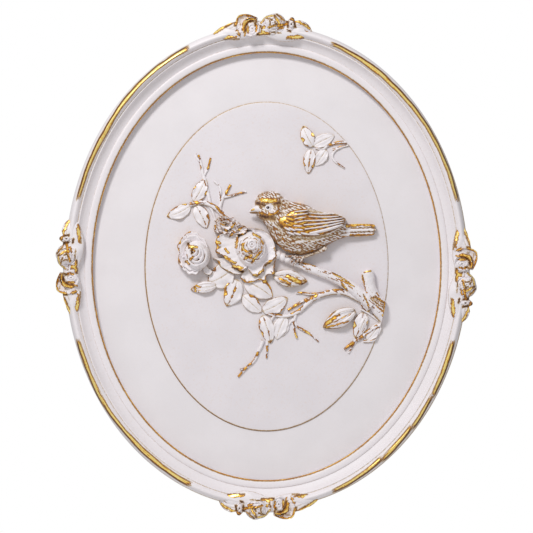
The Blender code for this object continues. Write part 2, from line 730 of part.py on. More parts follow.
def bird(collection):
    """Model the bird: body, head, beak, wing and tail feathers, leg and toes."""
    pieces = [
        lofted_body("bird_body", BIRD_BODY, collection),
        ball("bird_head", HEAD_CENTRE, HEAD_SIZE, HEAD_HEIGHT, collection),
        ball("bird_shoulder", SHOULDER_CENTRE, SHOULDER_SIZE, SHOULDER_HEIGHT, collection, rise=0.6),
    ]
    base, tip = [Vector((x, -rise, z)) for x, rise, z in (BEAK_BASE, BEAK_TIP)]
    bm = bmesh.new()
    bmesh.ops.create_cone(bm, cap_ends=True, segments=8, radius1=BEAK_RADIUS, radius2=0.5, depth=1)
    for vert in bm.verts:
        vert.co = base.lerp(tip, vert.co.z + 0.5) + Vector((0, vert.co.x, vert.co.y * 0.8))
    pieces.append(mesh_object("bird_beak", bm, collection))
    for x, z, rise, tip_x, tip_z, tip_rise, width in FEATHERS:
        pieces.append(blade("feather", (x, -rise + 1.5, z), (tip_x, -tip_rise + 1, tip_z), width, 2.2,
                            relief_floor, collection, blunt=0.9, keel=-0.3, rows=2))
    pieces.append(tube("leg", LEG, 2.6, 2.0, collection))
    for points in TOES:
        pieces.append(tube("toe", points, 2.0, 1.4, collection, sides=0))
    return pieces


def make_medallion(parts, cutters):
    """Build the plate and cast the relief onto it, kept within the plate's outline."""
    plate = oval_loft("relief_medallion", plate_loops(), parts)
    angles = [2 * math.pi * step / OVAL_STEPS for step in range(OVAL_STEPS)]
    reach = PLATE_FACE + MEDALLION_DOME + 2 * RELIEF_DEPTH
    trim = oval_loft("medallion_trim", [
        [medallion_point(angle, TRIM_MARGIN, PLATE_BACK - MEDALLION_DOME) for angle in angles],
        [medallion_point(angle, TRIM_MARGIN, reach) for angle in angles],
    ], cutters)
    trim.hide_render = True
    trim.display_type = "WIRE"
    leaves = []
    for x, z, tip_x, tip_z, width, lift in LEAVES:
        fine = width > FINE_LEAF_WIDTH
        leaves.append(blade("leaf", (x, -0.3, z), (tip_x, -0.3, tip_z), width, lift, relief_floor, parts,
                            keel=0.35 if fine else -0.2, rows=4 if fine else 2))
    inside = []
    crossing = []
    for piece in leaves + branches(parts) + flowers(parts) + bird(parts):
        to_plate(piece)
        crosses = any(
            (2 * vert.co.x / MEDALLION_WIDTH) ** 2 + (2 * vert.co.z / MEDALLION_HEIGHT) ** 2 > NEAR_EDGE
            for vert in piece.data.vertices)
        (crossing if crosses else inside).append(piece)
    unite(crossing[0], crossing[1:], "MANIFOLD")
    combine(crossing[0], trim, "INTERSECT", "MANIFOLD")
    unite(plate, crossing[:1] + inside, "MANIFOLD")
    fill_cavities(plate)
    tidy(plate)
    shade(plate, material("relief_resin", RELIEF_WHITE))


def build():
    for obj in list(bpy.data.objects):
        bpy.data.objects.remove(obj)
    parts = bpy.data.collections.new("wall_plaque")
    cutters = bpy.data.collections.new("cutters")
    bpy.context.scene.collection.children.link(parts)
    bpy.context.scene.collection.children.link(cutters)
    make_frame(parts, cutters)
    make_panel(parts)
    make_medallion(parts, cutters)


build()
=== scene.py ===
import math

import bmesh
import bpy
import numpy as np
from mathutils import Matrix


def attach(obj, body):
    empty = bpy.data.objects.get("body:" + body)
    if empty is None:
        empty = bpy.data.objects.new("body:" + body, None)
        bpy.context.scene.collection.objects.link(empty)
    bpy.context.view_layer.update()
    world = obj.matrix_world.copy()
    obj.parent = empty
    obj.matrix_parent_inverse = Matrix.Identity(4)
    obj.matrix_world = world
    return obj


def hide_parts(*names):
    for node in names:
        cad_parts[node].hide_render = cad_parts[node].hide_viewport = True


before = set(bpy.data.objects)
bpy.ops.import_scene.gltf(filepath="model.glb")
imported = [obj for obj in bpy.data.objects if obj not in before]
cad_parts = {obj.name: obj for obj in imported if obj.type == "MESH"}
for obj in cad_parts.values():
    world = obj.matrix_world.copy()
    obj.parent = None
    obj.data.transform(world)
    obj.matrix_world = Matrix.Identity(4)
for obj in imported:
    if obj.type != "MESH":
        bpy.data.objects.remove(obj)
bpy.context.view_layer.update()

# Studio: the camera looks square at the plaque from three metres, near enough to a flat view, in a
# white room with one broad lamp above it and a pale floor below the picture.
VIEW_DISTANCE = 3.0
VIEW_SIZE = 0.533
CREST_DEPTH = 0.02
FLOOR_Z = -0.34
LAMP_PLACE = (-0.64, -1.38, 1.32)
LAMP_SIZE = 0.42
LAMP_POWER = 24.5
ROOM_LIGHT = 0.50


class Wire:
    """A socket of a node tree. Arithmetic on it adds the nodes that work it out."""

    def __init__(self, tree, socket=None):
        self.tree = tree
        self.socket = socket

    def make(self, kind, settings, values, output=0):
        """Add a node: its settings first, then the values or wires of its sockets."""
        node = self.tree.nodes.new(kind)
        for name, setting in settings.items():
            if name != "stops":
                setattr(node, name, setting)
                continue
            stops = node.color_ramp.elements
            for stop, (position, colour) in zip(stops, (setting[0], setting[-1])):
                stop.position = position
                stop.color = (*colour, 1.0)
            for position, colour in setting[1:-1]:
                stops.new(position).color = (*colour, 1.0)
        for key, value in values.items():
            self.plug(node.inputs[key], value)
        return Wire(self.tree, node.outputs[output] if len(node.outputs) else None)

    def plug(self, socket, value):
        if isinstance(value, Wire):
            self.tree.links.new(value.socket, socket)
        else:
            socket.default_value = value

    def beside(self, output):
        """Give another output of the same node."""
        return Wire(self.tree, self.socket.node.outputs[output])

    def maths(self, operation, first, second):
        return self.make("ShaderNodeMath", {"operation": operation}, {0: first, 1: second})

    def __add__(self, other):
        return self.maths("ADD", self, other)

    def __sub__(self, other):
        return self.maths("SUBTRACT", self, other)

    def __rsub__(self, other):
        return self.maths("SUBTRACT", other, self)

    def __mul__(self, other):
        return self.maths("MULTIPLY", self, other)

    __radd__ = __add__
    __rmul__ = __mul__

    def step(self, low, high):
        """Rise smoothly from 0 to 1 between two values."""
        return self.make("ShaderNodeMapRange", {"interpolation_type": "SMOOTHSTEP"},
                         {"Value": self, "From Min": low, "From Max": high})

    def blend(self, first, second):
        """Mix two colours by this share."""
        return self.make("ShaderNodeMix", {"data_type": "RGBA"}, {0: self, 6: first, 7: second}, 2)


def linear(red, green, blue):
    """Turn a colour given from 0 to 255 into linear light."""
    return tuple(((channel / 255 + 0.055) / 1.055) ** 2.4 for channel in (red, green, blue))


camera_data = bpy.data.cameras.new("camera")
camera_data.lens = camera_data.sensor_width * VIEW_DISTANCE / VIEW_SIZE
camera = bpy.data.objects.new("camera", camera_data)
camera.location = (0.0, -VIEW_DISTANCE - CREST_DEPTH, 0.0)
camera.rotation_euler = (math.radians(90), 0.0, 0.0)
bpy.context.scene.collection.objects.link(camera)
bpy.context.scene.camera = camera

room = bpy.data.worlds.new("white_room")
room.use_nodes = True
room_light = room.node_tree.nodes["Background"]
bpy.context.scene.world = room
seen = Wire(room.node_tree).make("ShaderNodeLightPath", {}, {}, "Is Camera Ray")
seen.plug(room_light.inputs["Strength"], seen * (1.0 - ROOM_LIGHT) + ROOM_LIGHT)
seen.plug(room_light.inputs["Color"], (1.0, 1.0, 1.0, 1.0))
bpy.context.scene.view_settings.view_transform = "Standard"

lamp_data = bpy.data.lights.new("lamp", "AREA")
lamp_data.size = LAMP_SIZE
lamp_data.energy = LAMP_POWER
lamp = bpy.data.objects.new("lamp", lamp_data)
lamp.location = LAMP_PLACE
lamp.rotation_euler = (-lamp.location).to_track_quat("-Z", "Y").to_euler()
bpy.context.scene.collection.objects.link(lamp)

floor_mesh = bpy.data.meshes.new("floor")
floor_grid = bmesh.new()
bmesh.ops.create_grid(floor_grid, x_segments=12, y_segments=12, size=0.45)
for vert in floor_grid.verts:
    vert.co.y -= 0.2
    vert.co.z = FLOOR_Z
floor_grid.to_mesh(floor_mesh)
floor_grid.free()
floor = bpy.data.objects.new("floor", floor_mesh)
bpy.context.scene.collection.objects.link(floor)
floor_paint = bpy.data.materials.new("floor_paint")
floor_paint.use_nodes = True
floor_wire = Wire(floor_paint.node_tree)
floor_place = floor_wire.make("ShaderNodeTexCoord", {}, {}, "Object")
floor_grain = floor_wire.make("ShaderNodeTexNoise", {}, {"Vector": floor_place, "Scale": 40.0})
floor_shader = floor_paint.node_tree.nodes["Principled BSDF"]
floor_wire.plug(floor_shader.inputs["Base Color"],
                floor_grain.blend((0.80, 0.80, 0.80, 1.0), (0.84, 0.84, 0.84, 1.0)))
floor_shader.inputs["Roughness"].default_value = 0.7
floor_mesh.materials.append(floor_paint)

# Frame moulding: one casting in white resin, an oval of constant section with an outer roll, a
# quirk, a cove, an inner band and a lip over the panel. Gold is brushed along its crest and lip.
MM = 0.001
FRAME_HALF = (202.0, 242.0)
# The moulding's section as inset from its outer edge and height above its back, in millimetres.
SECTION_FRONT = [
    (0.0, 12.0), (0.3, 17.0), (1.5, 22.0), (3.5, 26.0), (5.5, 27.4), (7.5, 26.5), (9.3, 24.0), (10.0, 22.9),
    (10.8, 23.3), (11.6, 22.8), (12.5, 21.3), (14.5, 19.0), (17.0, 17.2), (19.4, 16.0), (19.8, 15.8),
    (20.3, 16.5), (22.0, 16.8), (25.0, 16.4), (27.0, 15.5), (27.8, 14.6)]
SECTION_BACK = [
    (28.0, 14.2), (28.0, 12.0), (28.0, 9.0), (27.9, 8.3), (25.5, 8.3), (23.0, 8.3), (23.0, 4.0),
    (23.0, 0.2), (22.8, 0.0), (12.0, 0.0), (1.0, 0.0), (0.4, 0.4), (0.0, 1.2), (0.0, 6.0)]
SECTION_GAP = 0.55
SWEEP_STEPS = 840
CREST_INSET = 5.4
# Runs of gold along the crest, in degrees round the oval from its right side.
CREST_RUNS = [
    (15.1, 71.5), (112.5, 164.5), (197.0, 248.0), (-33.6, -17.5), (-43.4, -32.0), (-55.0, -41.4),
    (-71.2, -53.0)]
CREST_SLANT = 0.13
DAB_LENGTH = 6.5
DAB_GAP = 2.2
# Lines of brown round the moulding: inset, reach and strength. The line by the lip is brown paint; the lines
# in the two quirks and in the cove are painted shade.
WASH_AND_SHADE_LINES = [(27.5, 1.1, 0.60), (10.05, 0.5, 0.24), (14.0, 2.5, 0.06), (19.7, 0.4, 0.17)]
KEYHOLE = {"mouth": 11.0, "slot": 5.0, "travel": 7.0, "depth": 8.0, "wall": 2.5, "below": 16.0}
KEYHOLE_SIDES = 48


def smooth_run(points, gap):
    """Carry a smooth line through the points, with a new point every gap or less."""
    points = np.asarray(points, float)
    ends = np.vstack([2 * points[0] - points[1], points, 2 * points[-1] - points[-2]])
    line = []
    for before, start, finish, after in zip(ends, ends[1:], ends[2:], ends[3:]):
        count = max(1, math.ceil(np.linalg.norm(finish - start) / gap))
        for share in np.arange(count) / count:
            bend = (2 * before - 5 * start + 4 * finish - after) * share ** 2
            twist = (3 * start - before - 3 * finish + after) * share ** 3
            line.append(start + 0.5 * ((finish - before) * share + bend + twist))
    line.append(points[-1])
    return np.array(line)


def ripple(place, seed, waves):
    """Give a smooth wander between -1 and 1, from a few waves with random phases."""
    phases = np.random.default_rng(seed).uniform(0, 2 * math.pi, len(waves))
    return sum(np.sin(place * wave + phase) for wave, phase in zip(waves, phases)) / len(waves)


def hump(place, middle, reach):
    """Give 1 at the middle, falling softly to nothing beyond its reach."""
    return np.exp(-((place - middle) / reach) ** 2)


def rubbed_resin(name, white, warmth):
    """Make cast resin: white, with brown wash and painted shade in its creases and along its walls, and gold
    rubbed on its raised edges that pales to a painted highlight where it lies thickest.
    """
    resin = bpy.data.materials.new(name)
    resin.use_nodes = True
    wire = Wire(resin.node_tree)
    place = wire.make("ShaderNodeTexCoord", {}, {}, "Object")

    def grain(scale, detail):
        return wire.make("ShaderNodeTexNoise", {}, {"Vector": place, "Scale": scale, "Detail": detail})

    fine = grain(1100.0, 3.0)
    patch = grain(480.0, 3.0)
    broad = grain(30.0, 2.0)
    gilt = wire.make("ShaderNodeAttribute", {"attribute_name": "gilt"}, {}, "Fac")
    glaze = wire.make("ShaderNodeAttribute", {"attribute_name": "glaze"}, {}, "Fac")
    laid = gilt + ((fine - 0.5) * 0.62 + (patch - 0.5) * 0.72) * gilt.step(0.05, 0.35)
    gold = laid.step(0.34, 0.44)
    # Brown laid from the painted attribute: real wash in some places, painted shade in others.
    wash_and_shade_level = glaze + ((fine - 0.5) * 0.45 + (patch - 0.5) * 0.50) * glaze.step(0.03, 0.3)
    # The gold runs from dark brown where it lies thin to pale yellow where it lies thickest; the pale top
    # stands for highlights on the gold, a painted highlight.
    leaf = laid.make("ShaderNodeValToRGB", {"stops": [
        (0.30, linear(88, 52, 32)), (0.44, linear(118, 72, 34)), (0.60, linear(160, 102, 36)),
        (0.76, linear(214, 150, 46)), (0.90, linear(255, 204, 76)), (1.0, linear(255, 232, 146))]},
        {"Fac": laid})
    brown = wash_and_shade_level.make("ShaderNodeValToRGB", {"stops": [
        (0.1, linear(214, 203, 192)), (0.3, linear(190, 165, 132)), (0.5, linear(154, 115, 66)),
        (0.75, linear(106, 66, 34)), (1.0, linear(68, 40, 26))]}, {"Fac": wash_and_shade_level})
    paler = tuple(min(1.0, channel * 1.035) for channel in white)
    body = broad.step(0.3, 0.7).blend((*white, 1.0), (*paler, 1.0))
    body = (patch.step(0.5, 0.8) * warmth).blend(body, (*linear(222, 208, 204), 1.0))
    wash_and_shade_coat = wash_and_shade_level.step(0.06, 0.26).blend(body, brown)
    shader = resin.node_tree.nodes["Principled BSDF"]
    wire.plug(shader.inputs["Base Color"], gold.blend(wash_and_shade_coat, leaf))
    wire.plug(shader.inputs["Metallic"], gold * laid.step(0.6, 0.9) * 0.6)
    wire.plug(shader.inputs["Roughness"], 0.50 + (fine - 0.5) * 0.12 - gold * 0.16)
    pores = wire.make("ShaderNodeBump", {}, {"Strength": 0.22, "Distance": 0.0004,
                                             "Height": fine * 0.4 + patch * 0.25 + gold * 0.45})
    wire.plug(shader.inputs["Normal"], pores)
    return resin


def place_piece(name, mesh):
    """Add a finished piece to the plaque."""
    piece = bpy.data.objects.new(name, mesh)
    bpy.context.scene.collection.objects.link(piece)
    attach(piece, "root")
    return piece


def paint(mesh, gilt, glaze):
    """Store how much gold and how much brown wash and painted shade each point of a mesh takes."""
    for name, amount in (("gilt", gilt), ("glaze", glaze)):
        layer = mesh.attributes.get(name) or mesh.attributes.new(name, "FLOAT", "POINT")
        layer.data.foreach_set("value", np.clip(amount, 0, 1.2).astype(np.float32))


def points_of(mesh):
    """Give the points of a mesh as rows."""
    spots = np.empty(len(mesh.vertices) * 3, np.float32)
    mesh.vertices.foreach_get("co", spots)
    return spots.reshape(-1, 3).astype(float)


def node_group(name, inputs, output):
    """Start a geometry node tree with named inputs, and give its input wires by name."""
    tree = bpy.data.node_groups.new(name, "GeometryNodeTree")
    for socket_name, kind in inputs.items():
        tree.interface.new_socket(socket_name, in_out="INPUT", socket_type=kind)
    tree.interface.new_socket(output, in_out="OUTPUT", socket_type="NodeSocketGeometry")
    given = Wire(tree).make("NodeGroupInput", {}, {})
    return tree, {socket_name: given.beside(socket_name) for socket_name in inputs}


def grow(source, tree, values, mesh_name):
    """Run a node tree on an object and give its result as a plain mesh."""
    maker = source.modifiers.new(tree.name, "NODES")
    maker.node_group = tree
    for item in tree.interface.items_tree:
        if item.name in values:
            maker[item.identifier] = values[item.name]
    grown = source.evaluated_get(bpy.context.evaluated_depsgraph_get())
    mesh = bpy.data.meshes.new_from_object(grown)
    mesh.name = mesh_name
    bpy.data.objects.remove(source)
    return mesh


def end_tree(geometry, resin, output):
    """Close a geometry node tree: its instances made real and its material set."""
    real = geometry.make("GeometryNodeRealizeInstances", {}, {"Geometry": geometry})
    coated = real.make("GeometryNodeSetMaterial", {}, {"Geometry": real, "Material": resin})
    coated.make("NodeGroupOutput", {}, {output: coated})


sweep, given = node_group("sweep_round_oval", {
    "Section": "NodeSocketGeometry", "Width": "NodeSocketFloat", "Height": "NodeSocketFloat",
    "Steps": "NodeSocketInt", "Resin": "NodeSocketMaterial"}, "Moulding")
section_line = given["Section"].make("GeometryNodeMeshToCurve", {}, {"Mesh": given["Section"]})
ring = section_line.make("GeometryNodeCurvePrimitiveCircle", {}, {
    "Resolution": given["Steps"], "Radius": 1.0})
oval_scale = ring.make("ShaderNodeCombineXYZ", {}, {
    "X": given["Width"] * 0.5, "Y": given["Height"] * 0.5, "Z": 1.0})
oval = ring.make("GeometryNodeTransform", {}, {"Geometry": ring, "Scale": oval_scale})
oval = oval.make("GeometryNodeSetCurveNormal", {"mode": "Z_UP"}, {"Curve": oval})
swept = oval.make("GeometryNodeCurveToMesh", {}, {"Curve": oval, "Profile Curve": section_line})
upright = swept.make("GeometryNodeTransform", {}, {"Geometry": swept, "Rotation": (math.pi / 2, 0.0, 0.0)})
end_tree(upright, given["Resin"], "Moulding")

section_points = np.vstack([smooth_run(SECTION_FRONT, SECTION_GAP), SECTION_BACK])[::-1]
section_mesh = bpy.data.meshes.new("moulding_section")
section_mesh.from_pydata([(-inset * MM, -height * MM, 0.0) for inset, height in section_points],
                         [(i, (i + 1) % len(section_points)) for i in range(len(section_points))], [])
section = bpy.data.objects.new("moulding_section", section_mesh)
bpy.context.scene.collection.objects.link(section)
frame_resin = rubbed_resin("frame_white_resin", linear(230, 224, 227), 0.35)
moulding_mesh = grow(section, sweep, {
    "Width": 2 * FRAME_HALF[0] * MM, "Height": 2 * FRAME_HALF[1] * MM, "Steps": SWEEP_STEPS,
    "Resin": frame_resin}, "frame_moulding")


def long_hole(width, travel, front, back):
    """Make an upright hole with round ends, from its depth at the front to behind the back."""
    sides = KEYHOLE_SIDES
    outline = []
    for i in range(sides):
        angle = 2 * math.pi * i / sides
        rise = travel if math.sin(angle) > 0.0 else 0.0
        outline.append((math.cos(angle) * width / 2, math.sin(angle) * width / 2 + rise))
    middle = FRAME_HALF[1] - KEYHOLE["below"]
    hole = bpy.data.meshes.new("keyhole_cutter")
    ring = [(x * MM, -depth * MM, (middle + z) * MM) for depth in (front, back) for x, z in outline]
    walls = [(i, i + sides, (i + 1) % sides + sides, (i + 1) % sides) for i in range(sides)]
    ends = [tuple(range(sides)), tuple(range(2 * sides - 1, sides - 1, -1))]
    hole.from_pydata(ring, [], [*ends, *walls])
    cutter = bpy.data.objects.new("keyhole_cutter", hole)
    bpy.context.scene.collection.objects.link(cutter)
    return cutter


cutters = [long_hole(KEYHOLE["mouth"], 0.0, KEYHOLE["wall"] + 1.0, -2.0),
           long_hole(KEYHOLE["slot"], KEYHOLE["travel"], KEYHOLE["wall"] + 1.0, -2.0),
           long_hole(KEYHOLE["mouth"], KEYHOLE["travel"], KEYHOLE["depth"], KEYHOLE["wall"])]
blank = bpy.data.objects.new("moulding_blank", moulding_mesh)
bpy.context.scene.collection.objects.link(blank)
for cutter in cutters:
    cut = blank.modifiers.new("keyhole", "BOOLEAN")
    cut.operation = "DIFFERENCE"
    cut.solver = "EXACT"
    cut.object = cutter
moulding_mesh = bpy.data.meshes.new_from_object(blank.evaluated_get(bpy.context.evaluated_depsgraph_get()))
moulding_mesh.name = "frame_moulding"
for spare in (blank, *cutters):
    bpy.data.objects.remove(spare)


def oval_place(spots, half):
    """Find the turn round an oval, in degrees, and the inset from its edge, for points in mm."""
    wide, tall = half
    x, z = spots[:, 0], spots[:, 2]
    turn = np.arctan2(z / tall, x / wide)
    for _ in range(8):
        ring_x, ring_z = wide * np.cos(turn), tall * np.sin(turn)
        run_x, run_z = -wide * np.sin(turn), tall * np.cos(turn)
        slope = (ring_x - x) * run_x + (ring_z - z) * run_z
        bend = run_x ** 2 + run_z ** 2 - (ring_x - x) * ring_x - (ring_z - z) * ring_z
        turn -= slope / np.maximum(bend, 1e-6)
    out_x, out_z = tall * np.cos(turn), wide * np.sin(turn)
    inset = ((wide * np.cos(turn) - x) * out_x + (tall * np.sin(turn) - z) * out_z) / np.hypot(out_x, out_z)
    return np.degrees(turn), inset


spots = points_of(moulding_mesh) / MM
turn, inset = oval_place(spots, FRAME_HALF)
height = -spots[:, 1]
front = (height > 13.0).astype(float)
gilt = np.zeros(len(spots))
glaze = np.zeros(len(spots))
dabs = np.random.default_rng(7)
for first, last in CREST_RUNS:
    for middle in np.arange(first + 1.0, last - 0.5, DAB_GAP):
        centre = CREST_INSET + dabs.normal(0, 0.40)
        reach = dabs.uniform(0.55, 1.05)
        length = DAB_LENGTH * dabs.uniform(0.7, 1.15)
        # Dabs stronger than one reach the palest gold, a painted highlight along the crest.
        strength = dabs.uniform(1.05, 1.2)
        away = (turn - middle + 180) % 360 - 180
        start = np.clip((away + middle - first) / 2.0, 0, 1)
        end = np.clip((last - away - middle) / 2.0, 0, 1)
        along = np.exp(-(away / length) ** 4) * start * end
        slant = CREST_SLANT * np.clip(away + middle - (first + last) / 2, -7.0, 7.0)
        sweep_line = inset - centre - slant - 0.30 * np.sin(away * 0.5 + middle)
        taper = 0.35 + 0.65 * np.clip(np.minimum(away + middle - first, last - away - middle) / 5.0, 0, 1)
        gilt = np.maximum(gilt, strength * along * np.exp(-np.abs(sweep_line / (reach * taper)) ** 3))
        glaze = np.maximum(glaze, 0.95 * along * hump(sweep_line, -reach - 0.7, 0.75))
        glaze = np.maximum(glaze, 0.60 * along * hump(sweep_line, reach + 0.5, 0.45))
gilt *= front
# Brown on the moulding's outer side, stronger towards the lower right: a brown tint, with painted shade on
# the side turned from the light.
outer_side_wash_and_shade = 0.12 + 0.22 * np.clip((spots[:, 0] / 202.0 - spots[:, 2] / 242.0), -0.5, 1.0)
glaze = np.maximum(glaze, outer_side_wash_and_shade * hump(inset, 0.6, 1.0) * np.clip((height - 13.0) / 4.0, 0, 1))
lip = 0.76 + 0.16 * ripple(np.radians(turn), 3, (5, 11, 19, 31, 47))
gilt = np.maximum(gilt, lip * hump(inset, 27.8, 1.05) * front)
for line, reach, strength in WASH_AND_SHADE_LINES:
    glaze = np.maximum(glaze, strength * hump(inset, line, reach) * front)
paint(moulding_mesh, gilt, glaze)
moulding_mesh.shade_smooth()
moulding = place_piece("frame_moulding", moulding_mesh)
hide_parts("oval_frame")

# Frame ornaments: four castings of one spray, at the top, right, bottom and left of the moulding and
# cast with it. Each has a pair of leaves at either end, an open rose, a drop, a tight rose and a curl.
RIM_FLOOR = 7.0
# Side, shift along the rim and stand off it.
ORNAMENT_SEATS = {"top": (0, -5.0, 0.0), "right": (1, 7.0, -2.5), "bottom": (2, -3.0, 0.0),
                  "left": (3, -2.0, -2.5)}
BRUSH_STRAY = (0.55, 0.30)
BRUSH_PRESS = 0.16
BRUSH_SPREAD = 1.12
SHARP_ANGLE = 62
# A sheet's edge runs this far down before its wall, and each sheet stands a step above the last.
SKIRT = 0.9
FOOT_STEP = 0.02
# The least rise of a sheet over its floor.
LEAST_RISE = 0.3
# A petal of a ring spans this many times its share of the round.
PETAL_LAP = 1.3


def near_line(x, z, start, finish, reach):
    """Give 1 on a straight line, falling softly to nothing beside it."""
    start, finish = np.asarray(start, float), np.asarray(finish, float)
    run = finish - start
    share = np.clip(((x - start[0]) * run[0] + (z - start[1]) * run[1]) / (run @ run), 0, 1)
    away_x, away_z = x - start[0] - run[0] * share, z - start[1] - run[1] * share
    return np.exp(-(away_x ** 2 + away_z ** 2) / reach ** 2)


def brush(x, z, strokes):
    """Lay strokes and keep the strongest. Each goes from x, z to x, z with a half-width and a strength."""
    x, z = np.asarray(x, float), np.asarray(z, float)
    broad, fine = BRUSH_STRAY
    slow, quick = (0.7, 1.3, 2.3), (1.9, 3.1)
    stray_x = x + broad * ripple(z + 0.4 * x, 91, slow) + fine * ripple(x - 0.7 * z, 92, quick)
    stray_z = z + broad * ripple(x - 0.4 * z, 93, slow) + fine * ripple(z + 0.7 * x, 94, quick)
    press = (1.0 + BRUSH_PRESS * ripple(x * 0.9 + z * 0.5, 95, (1.0, 1.9))
             + BRUSH_PRESS * ripple(z * 0.9 - x * 0.5, 96, (1.2, 2.1)))
    laid = np.zeros(np.broadcast(x, z).shape)
    for *ends, reach, strength in strokes:
        line = near_line(stray_x, stray_z, ends[:2], ends[2:], reach * BRUSH_SPREAD)
        laid = np.maximum(laid, strength * line)
    return laid * press


class Casting:
    """Closed shapes of one casting, gathered in mm with the gold, and the brown wash and painted shade, that
    they take.
    """

    def __init__(self, seat, floor, foot_shade=0.35):
        self.seat = seat
        self.floor = floor
        self.foot_shade = foot_shade
        self.plan = []
        self.points = []
        self.faces = []
        self.gilt = []
        self.glaze = []
        self.open = []
        self.size = 0

    def shape(self, spots, faces, gilt, glaze, open_to_brush=1.0):
        """Add a closed shape given by its points and faces."""
        spots = np.asarray(spots, float)
        self.plan.append(spots[:, :2])
        self.points.append(self.seat(spots))
        self.faces.extend((np.asarray(face) + self.size).tolist() for face in faces)
        self.gilt.append(np.broadcast_to(gilt, len(spots)))
        self.glaze.append(np.broadcast_to(glaze, len(spots)))
        self.open.append(np.broadcast_to(open_to_brush, len(spots)))
        self.size += len(spots)

    def sheet(self, grid, gilt=0.0, glaze=0.0):
        """Add a sheet of rows and columns, closed by walls down to the floor and by a back."""
        rows, columns = grid.shape[:2]
        spots = grid.reshape(-1, 3)
        index = np.arange(rows * columns).reshape(rows, columns)
        rim = np.concatenate([index[0, :-1], index[:-1, -1], index[-1, :0:-1], index[:0:-1, 0]])
        quads = np.stack([index[:-1, :-1], index[:-1, 1:], index[1:, 1:], index[1:, :-1]], -1).reshape(-1, 4)
        edge = spots[rim]
        following = np.roll(edge, -1, axis=0)
        if np.sum(edge[:, 0] * following[:, 1] - edge[:, 1] * following[:, 0]) < 0:
            rim = rim[::-1]
            quads = quads[:, ::-1]
        high = np.arange(len(rim)) + len(spots)
        low = high + len(rim)
        walls = np.concatenate([np.stack([np.roll(upper, -1), upper, lower, np.roll(lower, -1)], 1)
                                for upper, lower in ((rim, high), (high, low))])
        skirt = np.vstack([spots[rim], spots[rim]])
        foot = self.floor + FOOT_STEP * len(self.points)
        skirt[:len(rim), 2] = np.maximum(skirt[:len(rim), 2] - SKIRT, foot + 0.05)
        skirt[len(rim):, 2] = foot
        gilt = np.broadcast_to(gilt, (rows, columns)).ravel()
        glaze = np.broadcast_to(glaze, (rows, columns)).ravel()
        # The walls take painted shade: a dark line where the sheet's edge stands off the floor.
        self.shape(np.vstack([spots, skirt]), [*quads, *walls, low[::-1]],
                   np.concatenate([gilt, np.zeros(2 * len(rim))]),
                   np.concatenate([glaze, np.full(2 * len(rim), self.foot_shade)]),
                   np.concatenate([np.ones(len(glaze)), np.zeros(2 * len(rim))]))

    def mesh(self, name, resin, gold_strokes=(), brown_strokes=()):
        """Make the mesh of all shapes, with strokes of gold and brown laid over it."""
        mesh = bpy.data.meshes.new(name)
        mesh.from_pydata((np.vstack(self.points) * MM).tolist(), [], self.faces)
        mesh.materials.append(resin)
        mesh.shade_smooth()
        mesh.set_sharp_from_angle(angle=math.radians(SHARP_ANGLE))
        x, z = np.vstack(self.plan).T
        reached = np.concatenate(self.open)
        paint(mesh, np.maximum(np.concatenate(self.gilt), brush(x, z, gold_strokes) * reached),
              np.maximum(np.concatenate(self.glaze), brush(x, z, brown_strokes) * reached))
        return mesh


def evenly(line, count):
    """Share out points evenly along a line."""
    reach = np.concatenate([[0.0], np.cumsum(np.linalg.norm(np.diff(line, axis=0), axis=1))])
    marks = np.linspace(0.0, reach[-1], count)
    return np.stack([np.interp(marks, reach, line[:, axis]) for axis in range(line.shape[1])], 1)


def rim_seat(side, shift, stand):
    """Give the rule that lays a spray's points along the rim: run clockwise, reach outward, height."""
    middle = math.radians(90 - 90 * side)
    speed = FRAME_HALF[side % 2]

    def seat(spots):
        turn = middle - (spots[:, 0] + shift) / speed
        ring = np.stack([FRAME_HALF[0] * np.cos(turn), FRAME_HALF[1] * np.sin(turn)], 1)
        outward = np.stack([FRAME_HALF[1] * np.cos(turn), FRAME_HALF[0] * np.sin(turn)], 1)
        outward /= np.linalg.norm(outward, axis=1)[:, None]
        ring = ring + outward * (spots[:, 1:2] + stand)
        return np.stack([ring[:, 0], -spots[:, 2], ring[:, 1]], 1)

    return seat


def blade(base, tip, rows, columns):
    """Give the shares along and across a flat shape, the heading of its run and side, and its length."""
    along = np.linspace(0.0, 1.0, rows)[:, None]
    across = np.sin(np.linspace(-1.0, 1.0, columns) * math.pi / 2)[None, :]
    run = tip[:2] - base[:2]
    length = np.linalg.norm(run)
    run /= length
    return along, across, run, np.array([-run[1], run[0]]), length


